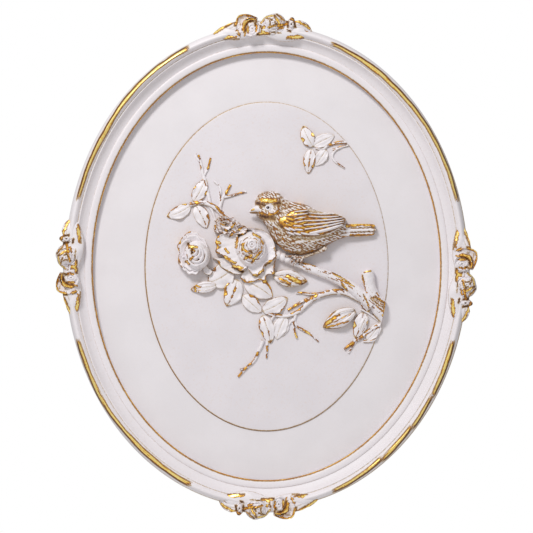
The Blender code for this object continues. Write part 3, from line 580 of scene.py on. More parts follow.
def leaf(casting, base, tip, width, dome, bend=0.0, left=0.0, right=0.0, vein=0.0, tip_stain=0.0,
         seed=0, rows=34, columns=19):
    """Add a leaf from its base to its tip, with a midrib, side veins and a waved edge."""
    base, tip = np.asarray(base, float), np.asarray(tip, float)
    along, across, run, side, length = blade(base, tip, rows, columns)
    breadth = 2.645 * np.clip(along, 0, 1) ** 0.62 * np.clip(1 - along, 0, 1) ** 0.80
    wave = ripple(along * 6.28, seed, (1.5, 2.6, 4.0))
    reach = (width / 2) * breadth * (1 + 0.07 * wave * np.sign(across)) + 0.05
    centre = base[:2] + run * (along * length) + side * (bend * np.sin(along * math.pi))
    place = centre[:, None, :] + side * (across * reach)[:, :, None]
    swell = dome * np.sin(math.pi * along ** 0.8) * (1 - 0.62 * np.abs(across) ** 1.4)
    body = base[2] + (tip[2] - base[2]) * along + swell
    waves = ripple(along * 6.28 + across * 0.8, seed + 40, (1.2, 2.1))
    ruffle = 0.10 * width * across ** 2 * waves * breadth
    rib = -0.8 * np.exp(-(across / 0.12) ** 2) * np.sin(math.pi * along ** 0.7)
    side_veins = np.clip(np.cos((along * 9 - np.abs(across) * 1.6) * math.pi), 0.35, 1)
    veins = -0.22 * side_veins * np.abs(across) ** 0.5
    lipped = 0.55 * hump(np.abs(across), 0.84, 0.14) * breadth
    grid = np.empty((rows, columns, 3))
    grid[:, :, :2] = place
    grid[:, :, 2] = np.maximum(body + ruffle + rib + veins * breadth + lipped, casting.floor + LEAST_RISE)
    streak = np.clip(0.74 + 0.6 * ripple(along * 8, seed + 3, (1.0, 1.9, 3.1)), 0.15, 1.1)
    start = 0.60 - 0.22 * ripple(along * 7, seed + 8, (1.0, 2.3))
    rimmed = left * np.clip((across - start) / 0.34, 0, 1) + right * np.clip((-across - start) / 0.34, 0, 1)
    tipped = np.clip((along - 0.86) / 0.12, 0, 1)
    rimmed = rimmed * (1 + 0.15 * ripple(along * 25, seed + 6, (1.0, 2.1)))
    gilt = 1.05 * rimmed * streak * np.clip(along * 6, 0, 1) + vein * hump(across, 0.05, 0.17) * streak
    gilt = gilt + 0.6 * max(left, right) * tipped * (np.abs(across) > 0.3)
    glaze = 0.30 * hump(along, 0.0, 0.06) + tip_stain * tipped + 0.10 * hump(across, 0.0, 0.07) * (vein > 0)
    # Brown lies beside the gold on the edges, and painted shade runs all round them; painted shade lies in
    # the midrib groove.
    glaze = np.maximum(glaze, 0.75 * hump(np.abs(across), 1.0, 0.06) * (0.25 + rimmed))
    glaze = np.maximum(glaze, 0.24 * hump(across, 0.0, 0.10))
    casting.sheet(grid, gilt, glaze)


def round_grid(casting, centre, radii, reach, angle, lift):
    """Give a sheet's points from their reach and angle round a centre, with none below the floor."""
    return np.stack([centre[0] + radii[0] * reach * np.cos(angle),
                     centre[1] + radii[1] * reach * np.sin(angle),
                     np.maximum(lift, casting.floor + LEAST_RISE)], -1)


def petal_ring(casting, centre, radii, count, outer, inner, rim_height, sink, turn, seed, gold,
               ruffle=0.05, gold_from=None, columns=26):
    """Add a ring of overlapping petals: each rises from inside to a rolled, gilded rim and falls outside."""
    draw = np.random.default_rng(seed)
    for number in range(count):
        middle = turn + 2 * math.pi * number / count + draw.normal(0, 0.06)
        half = math.pi / count * PETAL_LAP
        side = np.linspace(-1.0, 1.0, columns)[None, :]
        angle = middle + side * half
        scallop = 1 - 0.20 * np.abs(side) ** 2.4 + 0.045 * side
        scallop = scallop + ruffle * ripple(side * 5.0 + number, seed + number, (1.0, 1.8))
        profile = smooth_run([(0.0, -sink), (0.45, -0.55 * sink), (0.80, -0.12 * sink), (0.93, 0.0),
                              (1.0, -0.05 * sink), (1.03, -0.22 * sink - 0.4), (1.02, -0.5 * sink - 1.6),
                              (0.97, -0.8 * sink - 3.4)], 0.6)
        passed = profile[:, :1]
        reach = inner + (outer - inner) * passed
        reach = np.where(passed > 0.45, reach * scallop, reach * (1 + (scallop - 1) * passed / 0.45))
        lift = rim_height * (1 - 0.10 * side ** 2) + 0.25 * ripple(side * 4 + number, seed + 9, (1.0, 2.3))
        lift = lift + profile[:, 1:] + draw.normal(0, 0.25) + 0.35 * side
        rim = hump(passed, 0.95, 0.09) * (profile[:, 1:] > -sink * 0.5 - 1.0)
        streak = 0.72 + 0.34 * ripple(side * 9 + number * 2, seed + 21, (1.0, 1.7, 2.9))
        share = gold if gold_from is None else gold * hump(np.cos(angle - gold_from), 1.0, 0.8)
        glaze = 0.55 * hump(passed, 0.0, 0.16) + 0.45 * gold * hump(passed, 1.04, 0.03)
        casting.sheet(round_grid(casting, centre, radii, reach, angle, lift), share * rim * streak, glaze)


def open_petal(casting, foot, rim, foot_height, rim_height, cup, pleats, gold, seed, rows=22, columns=84):
    """Add a petal spread from its foot to a ruffled rim that is rolled over and gilded."""
    foot_line = evenly(smooth_run(foot, 0.5), columns)
    rim_line = evenly(smooth_run(rim, 0.5), columns)
    share = (np.linspace(0.0, 1.0, rows) ** 0.85)[:, None]
    side = np.linspace(-1.0, 1.0, columns)[None, :]
    spot = foot_line[None] * (1 - share[:, :, None]) + rim_line[None] * share[:, :, None]
    bite = 1.9 * pleats * np.abs(np.sin(side * columns * 0.11 + seed)) ** 0.7
    outward = rim_line - foot_line
    outward /= np.linalg.norm(outward, axis=1)[:, None]
    spot = spot - outward[None] * (bite * share ** 3)[:, :, None]
    rise = foot_height + (rim_height - foot_height) * share ** 1.4 - cup * np.sin(share * math.pi)
    fold = pleats * ripple(side * 22 + share, seed, (1.0, 1.45)) * share ** 2
    fold = fold + 0.35 * ripple(side * 8, seed + 1, (1.0, 1.7)) * share
    raised = 0.8 * hump(share, 0.90, 0.07)
    rolled = -1.8 * np.clip((share - 0.94) / 0.06, 0, 1) ** 2
    rolled = rolled - 1.5 * np.clip((np.abs(side) - 0.95) / 0.05, 0, 1) ** 2
    grid = np.dstack([spot, np.maximum(rise + fold + raised + rolled, casting.floor + LEAST_RISE)])
    streak = np.clip(0.72 + 0.6 * ripple(side * 11, seed + 2, (1.0, 1.9, 3.1)), 0.15, 1.1)
    gilt = gold * streak * hump(share, 0.945, 0.075)
    ridge = np.clip(fold * 1.6, 0, 1) * hump(share, 0.85, 0.16) * (pleats > 0.4)
    gilt = np.maximum(gilt, gold * 0.85 * streak * ridge)
    glaze = np.maximum(0.5 * hump(share, 0.0, 0.05), (0.3 + 0.6 * gold * streak) * hump(share, 1.0, 0.07))
    glaze = np.maximum(glaze, 0.6 * pleats * np.clip(-fold * 1.5, 0, 1) * hump(share, 0.86, 0.12))
    casting.sheet(grid, gilt, glaze)


def collar(casting, centre, radii, rim, foot, top, fall, count, turn, gold, seed, gold_to=None, columns=34):
    """Add petals that close round a heart: a thin rim, a groove inside it and a long slope outside."""
    draw = np.random.default_rng(seed)
    for number in range(count):
        middle = turn + 2 * math.pi * number / count + draw.normal(0, 0.08)
        side = np.linspace(-1.0, 1.0, columns)[None, :]
        angle = middle + side * math.pi / count * 1.28
        tuck = 1 - 0.13 * np.abs(side) ** 3 + 0.10 * side
        tuck = tuck + 0.02 * ripple(side * 5 + number, seed, (1.0, 1.9))
        shares = np.linspace(0.0, 1.0, 11)[1:, None]
        inward = np.array([[-1.0, -2.4], [-0.55, -1.1], [-0.25, -0.25], [0.0, 0.0], [0.3, -0.05]])
        slope = np.hstack([0.3 + (foot - rim - 0.3) * shares, -0.05 - fall * shares ** 1.7])
        profile = np.vstack([inward, slope])
        reach = np.maximum(rim * tuck + profile[:, :1], 0.05)
        lift = top + profile[:, 1:] - 0.7 * np.abs(side) ** 2 + 0.55 * side + draw.normal(0, 0.15)
        lift = lift + 0.15 * ripple(side * 6 + number, seed + 4, (1.0, 2.1))
        streak = np.clip(0.66 + 0.6 * ripple(side * 7 + number * 2, seed + 21, (1.0, 1.7, 2.9)), 0, 1.1)
        share = gold if gold_to is None else gold * hump(np.cos(angle - gold_to), 1.0, 0.9)
        passed = profile[:, :1]
        crest = hump(passed, -0.1, 0.55) * (profile[:, 1:] > -1.4)
        glaze = 0.50 * hump(passed, -0.95, 0.35) + 0.5 * share * streak * hump(passed, 0.55, 0.22)
        casting.sheet(round_grid(casting, centre, radii, reach, angle, lift), share * crest * streak, glaze)


def heart(casting, radii, layers, mark, gold_to=None):
    """Add the collars of a rose, each given as centre, rim, foot, top, fall, count, turn and gold."""
    for centre, *shape, top, fall, count, turn, gold in layers:
        seed = int(top * 10) + mark
        collar(casting, centre, radii, *shape, top, fall, count, turn, gold, seed, gold_to)


def rod(casting, path, radii, gilt=0.0, glaze=0.0, sides=14):
    """Add a round-ended rod along a path, with a radius at each point of it."""
    path = np.asarray(path, float)
    radii = np.asarray(radii, float)
    heading = np.gradient(path, axis=0)
    heading /= np.linalg.norm(heading, axis=1)[:, None]
    across = np.cross(heading, (0.0, 0.0, 1.0))
    across /= np.maximum(np.linalg.norm(across, axis=1), 1e-6)[:, None]
    upward = np.cross(across, heading)
    first, last = path[0] - heading[0] * radii[0] * 0.55, path[-1] + heading[-1] * radii[-1] * 0.55
    rings = [(first, radii[0] * 0.55, 0)] + [(p, r, i) for i, (p, r) in enumerate(zip(path, radii))]
    rings.append((last, radii[-1] * 0.55, len(path) - 1))
    spots = []
    for middle, radius, i in rings:
        for number in range(sides):
            angle = 2 * math.pi * number / sides
            spots.append(middle + across[i] * math.cos(angle) * radius
                         + upward[i] * math.sin(angle) * radius)
    spots = np.array(spots)
    faces = []
    for ring_number in range(len(rings) - 1):
        for number in range(sides):
            a = ring_number * sides + number
            b = ring_number * sides + (number + 1) % sides
            faces.append((a, a + sides, b + sides, b))
    faces.append(tuple(range(sides)))
    faces.append(tuple(range(len(spots) - 1, len(spots) - sides - 1, -1)))
    casting.shape(spots, faces, gilt, glaze)


MOUND_LOW = [
    (-50, -4), (-44, -8), (-36, -11), (-28, -13), (-17, -13.4), (-7, -11.8), (2, -12), (10, -14.5),
    (18, -16.4), (27, -16.2), (35, -14.3), (44, -10.5), (51, -5)]
MOUND_HIGH = [
    (-50.5, -2), (-44, 1.6), (-35, 4.0), (-25, 5.6), (-15, 6), (-5, 4), (5, 4.5), (15, 6), (25, 5),
    (33, 5.2), (42, 3.2), (51.5, -2.4)]
SPRAY_GOLD = [
    (-48, -0.9, -36, 3.2, 1.01, 1.22), (-37, 3.4, -27, 5.8, 1.12, 1.04), (-46, -5.6, -40, -7.4, 0.9, 0.85),
    (-42, -7.0, -35, -8.6, 1.57, 1.25), (-35, -8.4, -27, -9.8, 0.9, 0.85),
    (-25.5, -4, -23.5, -8.5, 1.46, 0.92), (-25, 2.5, -22.5, 9.5, 1.12, 0.98),
    (-22.5, 9.5, -17, 10.9, 1.12, 1.04), (-17, 10.9, -6, 7.4, 1.01, 0.85),
    (-18.8, -5, -17.4, 2, 1.57, 0.98), (-17.4, 2, -12.4, 5.6, 1.68, 1.1), (-12.4, 5.6, -5, 4.6, 1.12, 0.92),
    (-14.5, -8, -13.5, -2, 1.01, 1.04), (-5.8, -7, -5, -1.5, 1.01, 0.98),
    (-18, -10, -17.5, -7.5, 0.9, 0.98), (-3, -9.2, 7, -9.0, 1.12, 0.98), (1, -7.5, 2.5, -3, 1.57, 1.1),
    (0, 1, 3, 7, 1.01, 1.16), (3, 7, 11, 8, 1.01, 1.22), (14.5, 5.5, 17.5, 1, 1.12, 1.22),
    (17, 9, 21.5, 4.5, 1.01, 0.85), (20, 10.4, 24, 5, 0.9, 0.67), (16, -2, 25, 1.0, 1.46, 0.92),
    (17, -4.5, 22, -3.0, 1.12, 0.73), (7, -3.4, 14, -2, 0.78, 0.85), (28, 6.6, 32, 6, 1.12, 0.73),
    (33.5, 5.2, 38.5, 4.6, 1.12, 0.98), (38, 4.6, 48, 1.4, 1.12, 1.04), (28, -11.4, 35, -10.6, 1.12, 0.98),
    (34, -10.6, 41, -9.2, 1.68, 1.25), (41, -9.2, 45.5, -7.8, 0.9, 0.85),
    (43.5, -1.6, 49, -2.6, 0.56, 0.73)]
SPRAY_BROWN = [
    (-17.4, -5, -15.6, 2, 2, 0.92), (-15, 3.4, -8, 4.0, 1.5, 0.86), (-6.4, -1, -4.6, 4, 1.12, 0.69),
    (-46, -8, -25, -12.4, 0.75, 0.57), (27, -13.4, 46, -8.8, 0.75, 0.69), (-1, -2, 0.4, -8.6, 0.88, 0.8),
    (9.8, -8.6, 20, -8.4, 0.75, 0.46), (3.4, 6.4, 10.6, 3.6, 0.75, 0.69), (25.6, 6, 26.4, -2, 0.88, 0.8),
    (-49, -2, -27, 4.4, 0.88, 0.63), (-26.5, 1, -24, 9, 0.88, 0.98), (-22, 11, -14, 11.2, 0.75, 0.92),
    (-17.8, 1, -13, 4.6, 1.25, 0.86), (-4.8, -9.9, 8, -9.7, 0.88, 1.09), (8, -3.9, 15, -0.2, 0.88, 0.98),
    (12, 8.6, 15.5, 4, 0.88, 0.98), (15, 10, 19.5, 5, 0.88, 0.92), (22, 9.5, 25.6, 2, 1, 0.92),
    (27.6, 7.8, 31, 7.6, 1.62, 1.09), (32.5, 5, 33.6, -1, 1, 0.98), (26, -5, 31, -5.8, 0.88, 1.03),
    (33.5, 6.2, 48.5, 2.2, 0.75, 0.8), (27.5, -12, 45, -8.8, 0.75, 0.57),
    (-46, -6.3, -28, -10.6, 0.75, 0.57), (-20, 8, -7, 4.5, 0.62, 0.4), (8, 2.6, 8.6, -1.4, 0.75, 0.69),
    (13.6, 2.4, 14.2, -1, 0.75, 0.69)]


def mound(casting, low, high, low_height, crown, high_height, rows=26, columns=110):
    """Add the smooth body of a spray, between its lower and upper edges, with its crown between them."""
    low_line, high_line = evenly(smooth_run(low, 0.8), columns), evenly(smooth_run(high, 0.8), columns)
    share = np.linspace(0.0, 1.0, rows)[:, None]
    side = np.abs(np.linspace(-1.0, 1.0, columns))[None, :]
    spot = low_line[None] * (1 - share[:, :, None]) + high_line[None] * share[:, :, None]
    rim = low_height + (high_height - low_height) * share
    swell = (crown - (low_height + high_height) / 2) * np.sin(share * math.pi) ** 0.55
    ends = np.clip((1 - side) / 0.30, 0, 1) ** 0.6
    height = rim + swell * ends - (1 - ends) * (rim - 14.0) * (side > 0.97)
    height = height + 0.5 * ripple(spot[:, :, 0] * 0.22 + spot[:, :, 1] * 0.15, 77, (1.0, 1.9))
    casting.sheet(np.dstack([spot, height]), 0.0, 0.22 * hump(share, 0.0, 0.03))


def spray(side, shift, stand):
    """Model one spray of leaves and roses for the rim."""
    casting = Casting(rim_seat(side, shift, stand), RIM_FLOOR, foot_shade=0.1)
    mound(casting, MOUND_LOW, MOUND_HIGH, 22.6, 27.4, 21.0)
    leaf(casting, (-20, 2, 26.5), (-50, -1.6, 21.5), 10.5, 3.0, 1.4, right=0.5, tip_stain=0.3, seed=1)
    leaf(casting, (-22, -10.4, 25.6), (-47.5, -5.8, 23.0), 7.0, 2.6, -0.6, left=0.5, right=0.5, seed=2)
    leaf(casting, (29, 1, 26.5), (51, -0.6, 21.5), 10.0, 2.8, 1.6, left=0.5, tip_stain=0.3, seed=3)
    leaf(casting, (25, -12, 24.8), (46.5, -7.8, 22.6), 7.2, 2.6, 0.6, left=0.5, right=0.5, seed=4)
    leaf(casting, (-21, -2, 26.5), (-26, -10, 22), 6.0, 1.6, 0.0, left=0.3, seed=5)
    leaf(casting, (2, 2, 27), (2, -10.5, 22.5), 8.5, 1.8, 0.0, left=0.2, right=0.2, seed=6)
    open_petal(casting, [(-19, -10), (-19.5, -3), (-17, 4), (-11, 7), (-4, 5)],
               [(-24, -9), (-25.8, -2), (-25.2, 4.5), (-21.8, 10.2), (-16.5, 11.3), (-10.5, 10),
                (-3.5, 6.4)], 26.0, 29.2, 1.2, 0.0, 0.3, 21, rows=16, columns=50)
    petal_ring(casting, (-10.8, -3.0), (8.6, 9.2), 4, 1.0, 0.42, 30.6, 5.5, 0.9, 11, 0.3)
    heart(casting, (1.0, 1.35), [
        ((-9.8, -4.2), 3.0, 5.4, 29.4, 3.0, 2, 0.9, 0.3),
        ((-9.6, -4.4), 1.0, 3.2, 29.6, 2.0, 2, 0.2, 0.3)], 0)
    heart(casting, (1.0, 0.94), [
        ((12.6, -0.4), 9.4, 12.4, 28.2, 6.5, 4, 0.7, 0.3),
        ((12.8, 0.6), 7.2, 10.4, 30.4, 5.0, 3, -0.4, 0.45),
        ((12.2, 1.0), 5.0, 8.0, 32.2, 4.2, 3, 1.1, 0.4), ((11.4, 0.8), 3.0, 5.6, 33.2, 3.0, 2, 2.4, 0.2),
        ((11.2, 0.6), 0.9, 3.2, 33.6, 1.6, 2, 0.9, 0.0)], 1)
    heart(casting, (0.85, 1.35), [
        ((29.6, 0.6), 3.4, 5.4, 28.0, 5.0, 2, 0.5, 0.4), ((29.8, 1.4), 1.4, 3.4, 29.8, 3.0, 2, 1.9, 0.4)], 2)
    rod(casting, [(29.6, 6.4, 25.5), (29.7, 6.3, 27.4), (29.8, 6.2, 28.6)], [2.3, 2.2, 1.3], 0.35, 0.8)
    return casting


for name, (side, shift, stand) in ORNAMENT_SEATS.items():
    ornament = spray(side, shift, stand)
    place_piece("ornament_" + name, ornament.mesh("ornament_" + name, frame_resin, SPRAY_GOLD, SPRAY_BROWN))

# Field panel: the smooth oval panel behind the frame's lip, one thin resin casting that rests in the
# frame's rebate. It swells a little towards the medallion, which is let into it.
PANEL_HALF = (178.7, 218.7)
PANEL_BACK = 0.4
PANEL_EDGE = 8.0
PANEL_MIDDLE = 9.5
MEDALLION_HALF = (122.5, 165.5)


def oval_plate(name, rings, count, resin):
    """Make a closed shell from half sizes and heights of ovals, the first and last closed by a face."""
    angles = np.arange(count) * 2 * math.pi / count
    spots = np.vstack([np.stack([wide * np.cos(angles), np.full(count, -height), tall * np.sin(angles)], 1)
                       for wide, tall, height in rings])
    faces = []
    for ring_number in range(len(rings) - 1):
        start = ring_number * count
        faces += [(start + i, start + (i + 1) % count, start + count + (i + 1) % count, start + count + i)
                  for i in range(count)]
    faces.append(tuple(range(count - 1, -1, -1)))
    faces.append(tuple(range((len(rings) - 1) * count, len(rings) * count)))
    mesh = bpy.data.meshes.new(name)
    mesh.from_pydata((spots * MM).tolist(), [], faces)
    mesh.materials.append(resin)
    mesh.shade_smooth()
    return mesh


def rings_between(outer, inner, heights):
    """Give ovals from an outer to an inner one, with a height worked out from the share passed."""
    return [(outer[0] + (inner[0] - outer[0]) * share, outer[1] + (inner[1] - outer[1]) * share,
             heights(share)) for share in np.linspace(0.0, 1.0, 22)]


field_resin = rubbed_resin("field_white_resin", linear(227, 222, 225), 0.12)
half_wide, half_tall = PANEL_HALF
panel_rings = [(60.0, 90.0, PANEL_BACK), (half_wide - 1, half_tall - 1, PANEL_BACK),
               (half_wide, half_tall, PANEL_BACK + 1), (half_wide, half_tall, PANEL_EDGE - 0.3),
               (half_wide - 0.3, half_tall - 0.3, PANEL_EDGE)]
panel_rings += rings_between((173.0, 213.0), (121.5, 164.5), lambda share: (
    PANEL_EDGE + (PANEL_MIDDLE - PANEL_EDGE) * (1 - (1 - share) ** 2)))
panel_rings += [(119.0, 162.0, 7.2), (60.0, 90.0, 7.2)]
panel_mesh = oval_plate("panel_of_field", panel_rings, 360, field_resin)
spots = points_of(panel_mesh) / MM
paint(panel_mesh, np.zeros(len(spots)), np.zeros(len(spots)))
panel = place_piece("panel_of_field", panel_mesh)
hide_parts("field_panel")

# Medallion plate: the oval plate that the relief grows from. It is cast with the relief in the same
# resin. A brown line is painted along its rounded edge, strongest towards the lower left as painted shade.
PLATE_BACK = 7.3
PLATE_FACE = 10.8
PLATE_DOME = 2.0
# The plate's rounded edge, as inset from its outline and height, from the back to the face.
PLATE_EDGE = [(1.1, 7.3), (0.4, 7.8), (0.0, 8.8), (0.05, 9.7), (0.4, 10.35), (1.0, 10.75)]
relief_resin = rubbed_resin("relief_white_resin", linear(224, 218, 222), 0.5)
# The raised relief takes a paler copy of the same resin, a painted highlight for the light its raised faces
# catch; the real casting is one white.
highlight_relief_resin = rubbed_resin("highlight_relief_white_resin", linear(234, 228, 231), 0.4)


def plate_height(x, z):
    """Give the height of the plate's face at a place in mm."""
    return PLATE_FACE + PLATE_DOME * np.clip(
        1 - (x / MEDALLION_HALF[0]) ** 2 - (z / MEDALLION_HALF[1]) ** 2, 0, 1)


def plate_seat(spots):
    """Lay points given as right, up and height above the plate."""
    return np.stack([spots[:, 0], -(plate_height(spots[:, 0], spots[:, 1]) + spots[:, 2]), spots[:, 1]], 1)


plate_rings = [(50.0, 80.0, PLATE_BACK)]
plate_rings += [(MEDALLION_HALF[0] - inset, MEDALLION_HALF[1] - inset, height)
                for inset, height in PLATE_EDGE]
plate_rings += [(wide, tall, plate_height(wide, 0.0 * wide)) for wide, tall in zip(
    np.linspace(120.6, 4.0, 34), np.linspace(163.6, 6.0, 34))]
plate_mesh = oval_plate("plate_of_medallion", plate_rings, 360, relief_resin)
spots = points_of(plate_mesh) / MM
turn, inset = oval_place(spots, MEDALLION_HALF)
# The edge line is darker on the side away from the upper right, a painted shade of the plate's step; gold
# dabs lie on that side.
side_light = np.cos(np.radians(turn - 40.0))
edge_line = hump(inset, 0.5, 0.6) * (-spots[:, 1] > 9.0)
paint(plate_mesh, 0.52 * hump(inset, 0.5, 0.5) * (ripple(np.radians(turn), 5, (4, 9, 14, 23)) > 0.25)
      * (side_light < 0.3), edge_line * np.clip(0.50 - 0.28 * side_light, 0.27, 0.8))
plate = place_piece("plate_of_medallion", plate_mesh)
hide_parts("relief_medallion")

# Branches and twigs: round stems of the relief, cast with the plate. Their bark is knobbly, and gold
# is brushed along the side that faces up. The trunk ends in a cut at the plate's edge.
RELIEF_FLOOR = -1.5
# Right, up, height and radius at points of the branch and the trunk.
MAIN_BRANCH = [
    (4, 15, 3, 3.6), (9, 12.8, 3, 3.4), (11.5, 11.6, 3.6, 4.4), (14, 10.6, 3.2, 3.5), (16.5, 9.4, 3.7, 4.5),
    (19, 8.2, 3.2, 3.4), (21.5, 7.2, 3.7, 4.3), (24, 5.8, 3.2, 3.4), (27, 4.6, 3.6, 4.2),
    (30.5, 2.8, 3, 3.6), (36, 0.6, 3.4, 3.9), (45, -2.6, 3.6, 4.4), (56, -6.6, 3.6, 4.5),
    (66, -10.6, 3.8, 4.7), (77, -16.2, 4, 5.0), (88, -23, 4, 5.8), (97, -30, 4, 6.4), (106, -38, 3.5, 7)]
TRUNK = [
    (100.6, -4.6, 4.5, 5.6), (101.2, -7, 4.6, 6.3), (102, -14, 4.4, 6.2), (103.4, -21, 4.2, 6.2),
    (106.5, -29, 3.8, 6.6), (111, -37, 2.2, 8.2), (116, -45, -0.8, 9.6), (122, -53, -4.5, 11)]
# Radius at the start and the end of a twig, then the places right and up that it runs through.
TWIGS = [
    (1.9, 1.4, [(-56, 60), (-59.5, 77), (-62, 87), (-64, 93), (-65, 100), (-68.5, 112)]),
    (1.4, 1.0, [(-63, 91), (-59, 98), (-57.5, 103), (-56, 109)]),
    (1.1, 0.9, [(-65.5, 103), (-70, 109), (-70.5, 113)]),
    (2.0, 1.3, [(-44, 48), (-46.5, 58), (-45.5, 64), (-42.5, 71), (-39, 76), (-36, 82)]),
    (1.4, 1.0, [(-43.5, 69), (-35, 71), (-28, 73), (-20, 75)]),
    (1.5, 1.0, [(-46, 60), (-47, 70), (-46, 76), (-48, 81), (-52.5, 86)]),
    (2.3, 2.9, [(-77, 62), (-65.5, 64), (-58, 62.5), (-50, 58), (-43, 51), (-38, 46)]),
    (1.5, 1.2, [(-58, 61), (-54, 55), (-51, 46)]),
    (1.9, 1.2, [(-3.5, -74), (-6, -81), (-8.5, -86), (-12, -94), (-19, -100.5), (-28.5, -110.5)]),
    (1.4, 1.0, [(0.5, -72), (0.5, -85), (0.2, -92)]),
    (1.3, 0.9, [(-15.5, -97.5), (-20, -101.5), (-26.5, -103.5)]),
    (3.4, 1.7, [(98, -35), (89, -30.5), (80, -26.3), (72, -25.2), (62, -26.3), (52, -29.5), (45, -33.5),
                (38.5, -39.5), (31.5, -45.5), (21.5, -49.5), (12, -49.5), (2, -47.5)]),
    (2.0, 1.2, [(50, -30), (40, -33.5), (30, -38.5), (21, -44)]),
    (1.7, 1.1, [(58, -26.8), (44, -27.8), (36, -26.6), (29.5, -26.5)]),
    (1.7, 1.2, [(29.5, -46), (28, -53), (26.5, -58), (29, -66), (30.5, -72)]),
    (1.6, 1.0, [(27.5, -55), (31.5, -60.5), (39, -65), (45, -68.5), (52, -75.5)]),
    (1.2, 0.8, [(27, -52), (22.5, -58), (21, -64), (15.5, -69), (9, -71)]),
    (1.7, 1.3, [(8, -48.5), (5, -53), (3, -60), (0, -70)]),
    (2.3, 1.4, [(117, -58), (108, -61.5), (101, -66), (95, -71), (87, -76), (78, -83)]),
    (1.4, 1.0, [(91, -73), (86, -80), (82, -87)]),
    (1.8, 1.2, [(116, -57), (113, -65), (111, -72), (104, -75), (97, -75)]),
    (1.3, 1.0, [(95, -43), (104, -48), (113, -55)]),
    (1.7, 1.3, [(84, 122), (80, 124.5), (71, 124), (61, 121), (57, 118), (49, 118.5)]),
    (1.4, 1.0, [(75, 120), (69, 116.5), (66, 111), (68, 106), (73, 102), (78, 98.5)]),
    (1.2, 0.9, [(82, 121.5), (74, 119.5), (66, 117)])]

stems, given = node_group("bark_along_path", {
    "Path": "NodeSocketGeometry", "Sides": "NodeSocketInt", "Gap": "NodeSocketFloat",
    "Knobs": "NodeSocketFloat", "Knob Scale": "NodeSocketFloat", "Seed": "NodeSocketFloat",
    "Resin": "NodeSocketMaterial"}, "Stems")
even = given["Path"].make("GeometryNodeResampleCurve", {"mode": "LENGTH"}, {
    "Curve": given["Path"], "Length": given["Gap"]})
round_section = even.make("GeometryNodeCurvePrimitiveCircle", {}, {
    "Resolution": given["Sides"], "Radius": 1.0})
stem_radius = even.make("GeometryNodeInputRadius", {}, {})
tube = even.make("GeometryNodeCurveToMesh", {}, {
    "Curve": even, "Profile Curve": round_section, "Scale": stem_radius, "Fill Caps": True})
bark = even.make("ShaderNodeTexNoise", {"noise_dimensions": "4D"}, {
    "Scale": given["Knob Scale"], "W": given["Seed"], "Detail": 2.0})
outward = even.make("GeometryNodeInputNormal", {}, {})
pushed = even.make("ShaderNodeVectorMath", {"operation": "SCALE"}, {
    0: outward, "Scale": (bark - 0.5) * given["Knobs"]})
knobbly = even.make("GeometryNodeSetPosition", {}, {"Geometry": tube, "Offset": pushed})
end_tree(knobbly, given["Resin"], "Stems")


def grow_stems(name, paths, gap, sides, knobs, knob_scale, seed):
    """Run the bark tree along paths given as rows of right, up, height and radius in mm."""
    curve = bpy.data.curves.new(name, "CURVE")
    curve.dimensions = "3D"
    for path in paths:
        line = smooth_run(path, 1.0)
        seats = plate_seat(line[:, :3]) * MM
        spline = curve.splines.new("POLY")
        spline.points.add(len(line) - 1)
        for point, seat, radius in zip(spline.points, seats, line[:, 3]):
            point.co = (*seat, 1.0)
            point.radius = radius * MM
    source = bpy.data.objects.new(name, curve)
    bpy.context.scene.collection.objects.link(source)
    mesh = grow(source, stems, {"Sides": sides, "Gap": gap * MM, "Knobs": knobs * MM,
                                "Knob Scale": knob_scale, "Seed": seed, "Resin": highlight_relief_resin}, name)
    mesh.shade_smooth()
    return mesh


def normals_of(mesh):
    """Give the direction that each point of a mesh faces."""
    facing = np.empty(len(mesh.vertices) * 3, np.float32)
    mesh.vertices.foreach_get("normal", facing)
    return facing.reshape(-1, 3).astype(float)


def trim_to_plate(mesh):
    """Cut a mesh at the plate's edge: what lies beyond is drawn in to the edge."""
    spots = points_of(mesh)
    beyond = np.hypot(spots[:, 0] / (MEDALLION_HALF[0] * MM), spots[:, 2] / (MEDALLION_HALF[1] * MM))
    spots[:, [0, 2]] /= np.maximum(beyond / 0.998, 1.0)[:, None]
    spots[:, 1] = np.minimum(spots[:, 1], -(PLATE_BACK + 1.0) * MM)
    mesh.vertices.foreach_set("co", spots.astype(np.float32).ravel())
    mesh.update()


twig_paths = []
for first, last, places in TWIGS:
    radii = np.linspace(first, last, len(places))
    twig_paths.append([(x, z, radius * 0.5, radius) for (x, z), radius in zip(places, radii)])
TWIG_GOLD = [
    (-8, -86, -28, -110, 1.5, 0.9), (0.5, -80, 0.3, -92, 1.2, 0.75), (-15, -97, -26, -103, 1.2, 0.7),
    (27, -55, 30, -72, 1.3, 0.9), (31, -60, 45, -69, 1.2, 0.9), (45, -69, 52, -75, 1.0, 0.7),
    (96, -70, 78, -83, 1.3, 0.8), (117, -58, 96, -71, 1.1, 0.75), (-66, 98, -68, 112, 1.3, 0.85),
    (-59, 98, -56, 108, 1.4, 0.9), (-41, 73, -36, 82, 1.4, 0.9), (-35, 71, -20, 75, 1.0, 0.65),
    (-52, 85, -48, 80, 1.0, 0.7), (-50, 60, -41, 50, 1.5, 0.9), (-76, 62.6, -60, 64, 1.2, 0.8),
    (50, -29.4, 22, -43.4, 1.3, 0.85), (30, -26, 58, -26.4, 1.2, 0.85), (8, -48.6, 34, -43, 1.1, 0.75),
    (61, 121.4, 83, 124, 1.0, 0.8), (70, 104.6, 78, 99, 1.0, 0.75), (-62, 86, -60, 74, 1.0, 0.6),
    (-46.6, 76, -46, 66, 0.9, 0.6), (90, -73, 83, -85, 1.0, 0.6), (60, -25, 84, -26.6, 0.8, 0.5)]
twig_mesh = grow_stems("twigs", twig_paths, 0.8, 12, 1.1, 300.0, 4.0)
trim_to_plate(twig_mesh)
spots, facing = points_of(twig_mesh) / MM, normals_of(twig_mesh)
